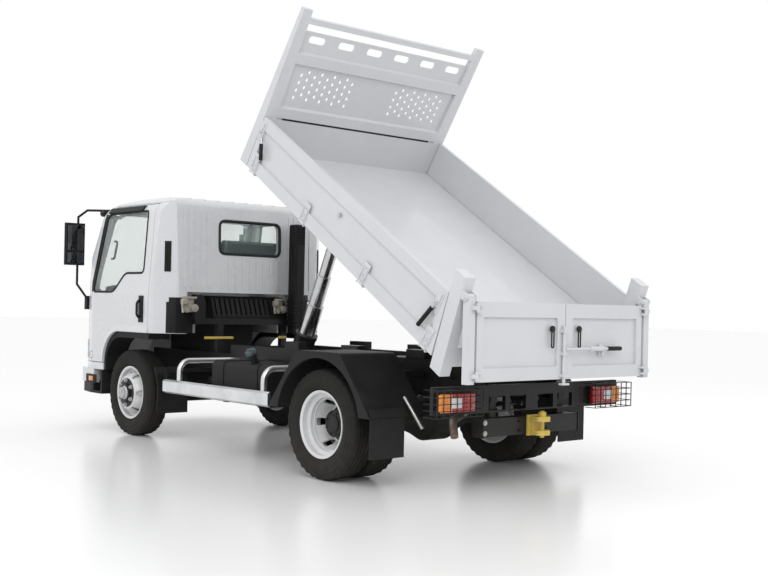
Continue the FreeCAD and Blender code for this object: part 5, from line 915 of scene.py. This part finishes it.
def makeBoltRows():
    form = boltForm
    tree, ids = boltTree()
    values = {ids["Bolts"]: form["railCount"], ids["Pitch"]: form["railPitch"]}
    along = turned(90, 4, "Z")
    shape = bmesh.new()
    for side in (1, -1):
        outward = turned(90 * side, 4, "Y")
        for level in form["levels"]:
            mesh = settledMesh("bolts", tree, values)
            place = at(side * form["railX"], form["railStart"], level)
            mesh.transform(Matrix.Translation(place) @ outward @ along)
            shape.from_mesh(mesh)
            bpy.data.meshes.remove(mesh)
    pieceFromBmesh("frame_bolts", shape, "chassis", "satin chassis black", 30)
    beam = settledMesh("beam_bolts", tree, {ids["Bolts"]: form["beamCount"],
            ids["Pitch"]: form["beamPitch"], ids["Head radius"]: form["beamRadius"]})
    backward = turned(-90, 4, "X") @ turned(-90, 4, "Z")
    beam.transform(Matrix.Translation(at(*form["beam"])) @ backward)
    pieceFromMesh("beam_end_bolts", beam, "chassis", "zinc steel", 30)


makeCabLatches()
makeFuelCap()
makeMudguardStays()
makeBoltRows()
print("stage: frame details made")

# Mirror faces, a tall one over a low one

mirrorForm = {
    "x": 0.985, "y": -3.914, "turn": 6.8, "width": 0.158, "thick": 0.004,
    "faces": ((1.79, 0.235), (1.60, 0.095)),
}


def makeMirrorFaces():
    form = mirrorForm
    shape = bmesh.new()
    for side in (1, -1):
        slope = turned(-side * form["turn"], 3, "Z")
        for level, tall in form["faces"]:
            size = (form["width"], form["thick"], tall)
            addBlock(shape, at(side * form["x"], form["y"], level), size, 0.0015, slope)
    pieceFromBmesh("mirror_faces", shape, "chassis", "mirror silver", 30)


makeMirrorFaces()

# Rear lamps: ribbed amber and red fields with a clear inset

lampForm = {
    "inner": 0.597, "outer": 0.917, "low": 0.536, "top": 0.664, "rim": 0.006, "rear": 1.0253,
    "fields": (("lamp amber", 0.0, 0.34), ("lamp red", 0.35, 1.0)), "ribs": 7, "insetMiddle": 0.45,
    "insetWide": 0.30, "insetRib": 0.26, "insetTall": 0.56, "insetRibs": 4,
}


def addRibs(shape, x, y, z, tall, count, size, edge):
    for rib in range(count):
        addBlock(shape, at(x, y, z + tall * ((rib + 0.5) / count - 0.5)), size, edge)


def makeTailLenses():
    form = lampForm
    groups = {name: bmesh.new() for name in ("lamp red", "lamp amber", "lamp clear")}
    edge = form["outer"] - form["rim"]
    width = edge - form["inner"] - form["rim"]
    y = form["rear"]
    z = (form["low"] + form["top"]) / 2
    tall = form["top"] - form["low"] - 0.010
    insetTall = tall * form["insetTall"]
    clear = groups["lamp clear"]
    for side in (1, -1):
        for finish, start, end in form["fields"]:
            wide = width * (end - start)
            x = side * (edge - width * (start + end) / 2)
            addBlock(groups[finish], at(x, y - 0.012, z), (wide, 0.030, tall), 0.006)
            size = (wide - 0.016, 0.004, 0.006)
            addRibs(groups[finish], x, y + 0.0035, z, tall, form["ribs"], size, 0.0015)
        x = side * (edge - width * form["insetMiddle"])
        addBlock(clear, at(x, y + 0.0005, z), (width * form["insetWide"], 0.012, insetTall), 0.004)
        addRibs(clear, x, y + 0.0060, z, insetTall, form["insetRibs"],
                (width * form["insetRib"], 0.003, 0.006), 0.001)
    for finish, shape in groups.items():
        pieceFromBmesh("tail_lens_" + finish.split()[1], shape, "chassis", finish, 35)


makeTailLenses()
print("stage: lamps made")

# Hinges, latches, grips and knobs of the dropsides, and the seam under the headboard

bedForm = {
    "face": 0.938, "length": 2.52, "rearEdge": 0.006, "latches": (2.482, 0.151), "latchLevel": 0.405,
    "latchSize": (0.006, 0.060, 0.160),
    "grips": (((2.411, 0.328), (2.339, 0.2255)), ((0.163, 0.356), (0.2046, 0.190))), "gripRadius": 0.0145,
    "knobLevel": 0.398, "middleLevel": 0.350, "hingeShares": (0.04, 0.34, 0.66, 0.96), "hingeLevel": 0.175,
    "hingeSize": (0.008, 0.072, 0.130), "ribLevel": 0.165, "ribSize": (0.012, 0.010, 0.095),
    "ribShift": 0.024, "boltLevels": (0.150, 0.210), "boltRadius": 0.0095, "seamHalf": 0.765,
    "seamLevel": 0.505,
}
bedTurn = turned(-layout["tipAngle"], 3, "X")


def hingePlaces():
    rear = bedForm["rearEdge"]
    return [rear + (bedForm["length"] - 2 * rear) * share for share in bedForm["hingeShares"]]


def addBoardPin(shape, side, start, end, forward, up, radius, sides=24, edge=0.003):
    face = bedForm["face"]
    addRod(shape, onBed(side * (face + start), forward, up), onBed(side * (face + end), forward, up),
            radius, sides, edge)


def addBoardHinge(shape, side, forward):
    form = bedForm
    face = form["face"]
    addBlock(shape, onBed(side * (face + 0.003), forward, form["hingeLevel"]), form["hingeSize"], 0.002,
            bedTurn)
    for shift in (-form["ribShift"], form["ribShift"]):
        place = onBed(side * (face + 0.008), forward + shift, form["ribLevel"])
        addBlock(shape, place, form["ribSize"], 0.002, bedTurn)
    for level in form["boltLevels"]:
        addBoardPin(shape, side, 0.004, 0.014, forward, level, form["boltRadius"], 6, 0.0)


def makeBoardFittings(side, word):
    form = bedForm
    face = form["face"]
    body = "board_" + word
    metal = bmesh.new()
    grips = bmesh.new()
    chrome = bmesh.new()
    for forward in form["latches"]:
        place = onBed(side * (face + 0.002), forward, form["latchLevel"])
        addBlock(metal, place, form["latchSize"], 0.002, bedTurn)
        addBoardPin(chrome, side, 0.014, 0.022, forward, form["knobLevel"], 0.013)
    for (topForward, topUp), (lowForward, lowUp) in form["grips"]:
        top = onBed(side * (face + 0.020), topForward, topUp)
        low = onBed(side * (face + 0.026), lowForward, lowUp)
        addRod(chrome, top - (low - top).normalized() * 0.040, top, 0.009, 20)
        addRod(grips, top, low, form["gripRadius"], 24, 0.005)
    addBoardPin(chrome, side, -0.014, 0.010, sum(form["latches"]) / 2, form["middleLevel"], 0.015)
    for forward in hingePlaces():
        addBoardHinge(metal, side, forward)
    pieceFromBmesh("board_metal_" + word, metal, body, "bed white paint", 30)
    pieceFromBmesh("board_grips_" + word, grips, body, "grained black plastic", 40)
    pieceFromBmesh("board_knobs_" + word, chrome, body, "hard chrome", 40)


def makeHeadboardSeam():
    shape = bmesh.new()
    # The black strip in this seam is partly a seal and partly painted shade: it makes the recess darker than
    # it renders on its own.
    addBlock(shape, onBed(0, bedForm["length"] + 0.0045, bedForm["seamLevel"]),
            (2 * bedForm["seamHalf"], 0.011, 0.0150), 0.001, bedTurn)
    pieceFromBmesh("headboard_seam", shape, "bed", "weather rubber", 30)


for side, word in bothSides:
    makeBoardFittings(side, word)
makeHeadboardSeam()

# Loops, lever, grip and keeper of the tailgate

gateForm = {
    "face": 1.2590, "top": 1.2473, "loopX": 0.137, "loopHalf": 0.011, "loopTop": -0.175, "loopFoot": -0.290,
    "loopThick": 0.005, "buttonLevel": -0.168, "buttonRadius": 0.022, "leverStart": -0.350,
    "gripStart": -0.415, "gripEnd": -0.565, "leverOut": 0.030, "leverLevel": -0.3, "leverRadius": 0.0095,
    "gripRadius": 0.0150, "keeperX": -0.385,
}


def makeGateLoop(side, word):
    form = gateForm
    x = side * form["loopX"]
    face = form["face"]
    top = form["top"]
    half = form["loopHalf"]
    button = top + form["buttonLevel"]
    shape = bmesh.new()
    addRod(shape, at(x, face - 0.001, button), at(x, face + 0.014, button), form["buttonRadius"], 28, 0.003)
    high = form["loopTop"]
    low = form["loopFoot"]
    corners = [at(x + across, face + 0.010, top + level)
               for across, level in ((-half, high), (half, high), (half, low), (-half, low))]
    addPath(shape, rounded(corners, 0.011, 5, True), form["loopThick"], 10, True)
    pieceFromBmesh("gate_loop_" + word, shape, "leaf_" + word, "satin chassis black", 40)


def makeGateLock():
    form = gateForm
    face = form["face"]
    top = form["top"]
    start, middle, end = [at(form[name], face + form["leverOut"], top + form["leverLevel"])
            for name in ("leverStart", "gripStart", "gripEnd")]
    lever = bmesh.new()
    addRod(lever, start, middle, form["leverRadius"], 20)
    pieceFromBmesh("lock_lever_end", lever, "leaf_left", "bed white paint", 40)
    grip = bmesh.new()
    addRod(grip, middle, end, form["gripRadius"], 24, 0.005)
    pieceFromBmesh("lock_grip", grip, "leaf_left", "grained black plastic", 40)
    keeper = bmesh.new()
    addBlock(keeper, at(form["keeperX"], face + 0.002, top - 0.31), (0.055, 0.006, 0.080), 0.002)
    addBlock(keeper, at(form["keeperX"], face + 0.010, top - 0.334), (0.024, 0.018, 0.026), 0.002)
    pieceFromBmesh("lock_keeper", keeper, "leaf_right", "bed white paint", 30)


for side, word in bothSides:
    makeGateLoop(side, word)
makeGateLock()
print("stage: bed fittings made")

# Floor, lights and camera

studio = {
    "floorSize": 60.0, "floorColor": 0.90, "floorRough": 0.22, "skyStrength": 1.0,
    "lights": (("key_light", (7.0, 9.0, 8.0), (0, 0, 1.2), 420.0, 6.0),
               ("fill_light", (9.0, -5.0, 6.0), (0, 0, 1.0), 60.0, 7.0),
               ("back_light", (-8.0, 2.0, 7.0), (0, 0, 1.5), 60.0, 7.0)),
    "cameraPlace": (5.840, 6.078, 1.212), "yaw": 138.71, "pitch": -0.1, "roll": 1.25, "lens": 52.74,
    "sensor": 36.0, "shiftY": 0.0198,
}


def makeFloor():
    shape = bmesh.new()
    bmesh.ops.create_grid(shape, x_segments=1, y_segments=1, size=studio["floorSize"])
    mesh = bpy.data.meshes.new("studio_floor")
    shape.to_mesh(mesh)
    shape.free()
    floor = bpy.data.objects.new("studio_floor", mesh)
    bpy.context.scene.collection.objects.link(floor)
    finish = bpy.data.materials.new("pale_floor")
    finish.use_nodes = True
    shade = studio["floorColor"]
    setInputs(finish.node_tree, finish.node_tree.nodes["Principled BSDF"],
            {"Base Color": (shade, shade, shade, 1.0), "Roughness": studio["floorRough"]})
    mesh.materials.append(finish)


def addLight(name, place, target, power, size):
    lamp = bpy.data.lights.new(name, "AREA")
    lamp.energy = power
    lamp.size = size
    holder = bpy.data.objects.new(name, lamp)
    holder.location = place
    holder.rotation_euler = (Vector(target) - Vector(place)).to_track_quat("-Z", "Y").to_euler()
    bpy.context.scene.collection.objects.link(holder)


def makeSky():
    world = bpy.data.worlds.new("studio_sky")
    world.use_nodes = True
    setInputs(world.node_tree, world.node_tree.nodes["Background"],
            {"Color": (1.0, 1.0, 1.0, 1.0), "Strength": studio["skyStrength"]})
    bpy.context.scene.world = world
    bpy.context.scene.view_settings.view_transform = "Standard"


def makeCamera():
    yaw, pitch, roll = [math.radians(studio[name]) for name in ("yaw", "pitch", "roll")]
    forward = Vector((-math.cos(pitch) * math.sin(yaw), math.cos(pitch) * math.cos(yaw), -math.sin(pitch)))
    right = forward.cross(Vector((0, 0, 1))).normalized()
    up = right.cross(forward)
    turnedRight = right * math.cos(roll) + up * math.sin(roll)
    turnedUp = up * math.cos(roll) - right * math.sin(roll)
    lens = bpy.data.cameras.new("photo_camera")
    lens.lens = studio["lens"]
    lens.sensor_width = studio["sensor"]
    lens.sensor_fit = "HORIZONTAL"
    lens.shift_y = studio["shiftY"]
    lens.clip_end = 200.0
    camera = bpy.data.objects.new("photo_camera", lens)
    bpy.context.scene.collection.objects.link(camera)
    turn = Matrix((turnedRight, turnedUp, -forward)).transposed()
    camera.matrix_world = Matrix.Translation(at(*studio["cameraPlace"])) @ turn.to_4x4()
    bpy.context.scene.camera = camera


makeFloor()
for values in studio["lights"]:
    addLight(*values)
makeSky()
makeCamera()
print("stage: studio set")
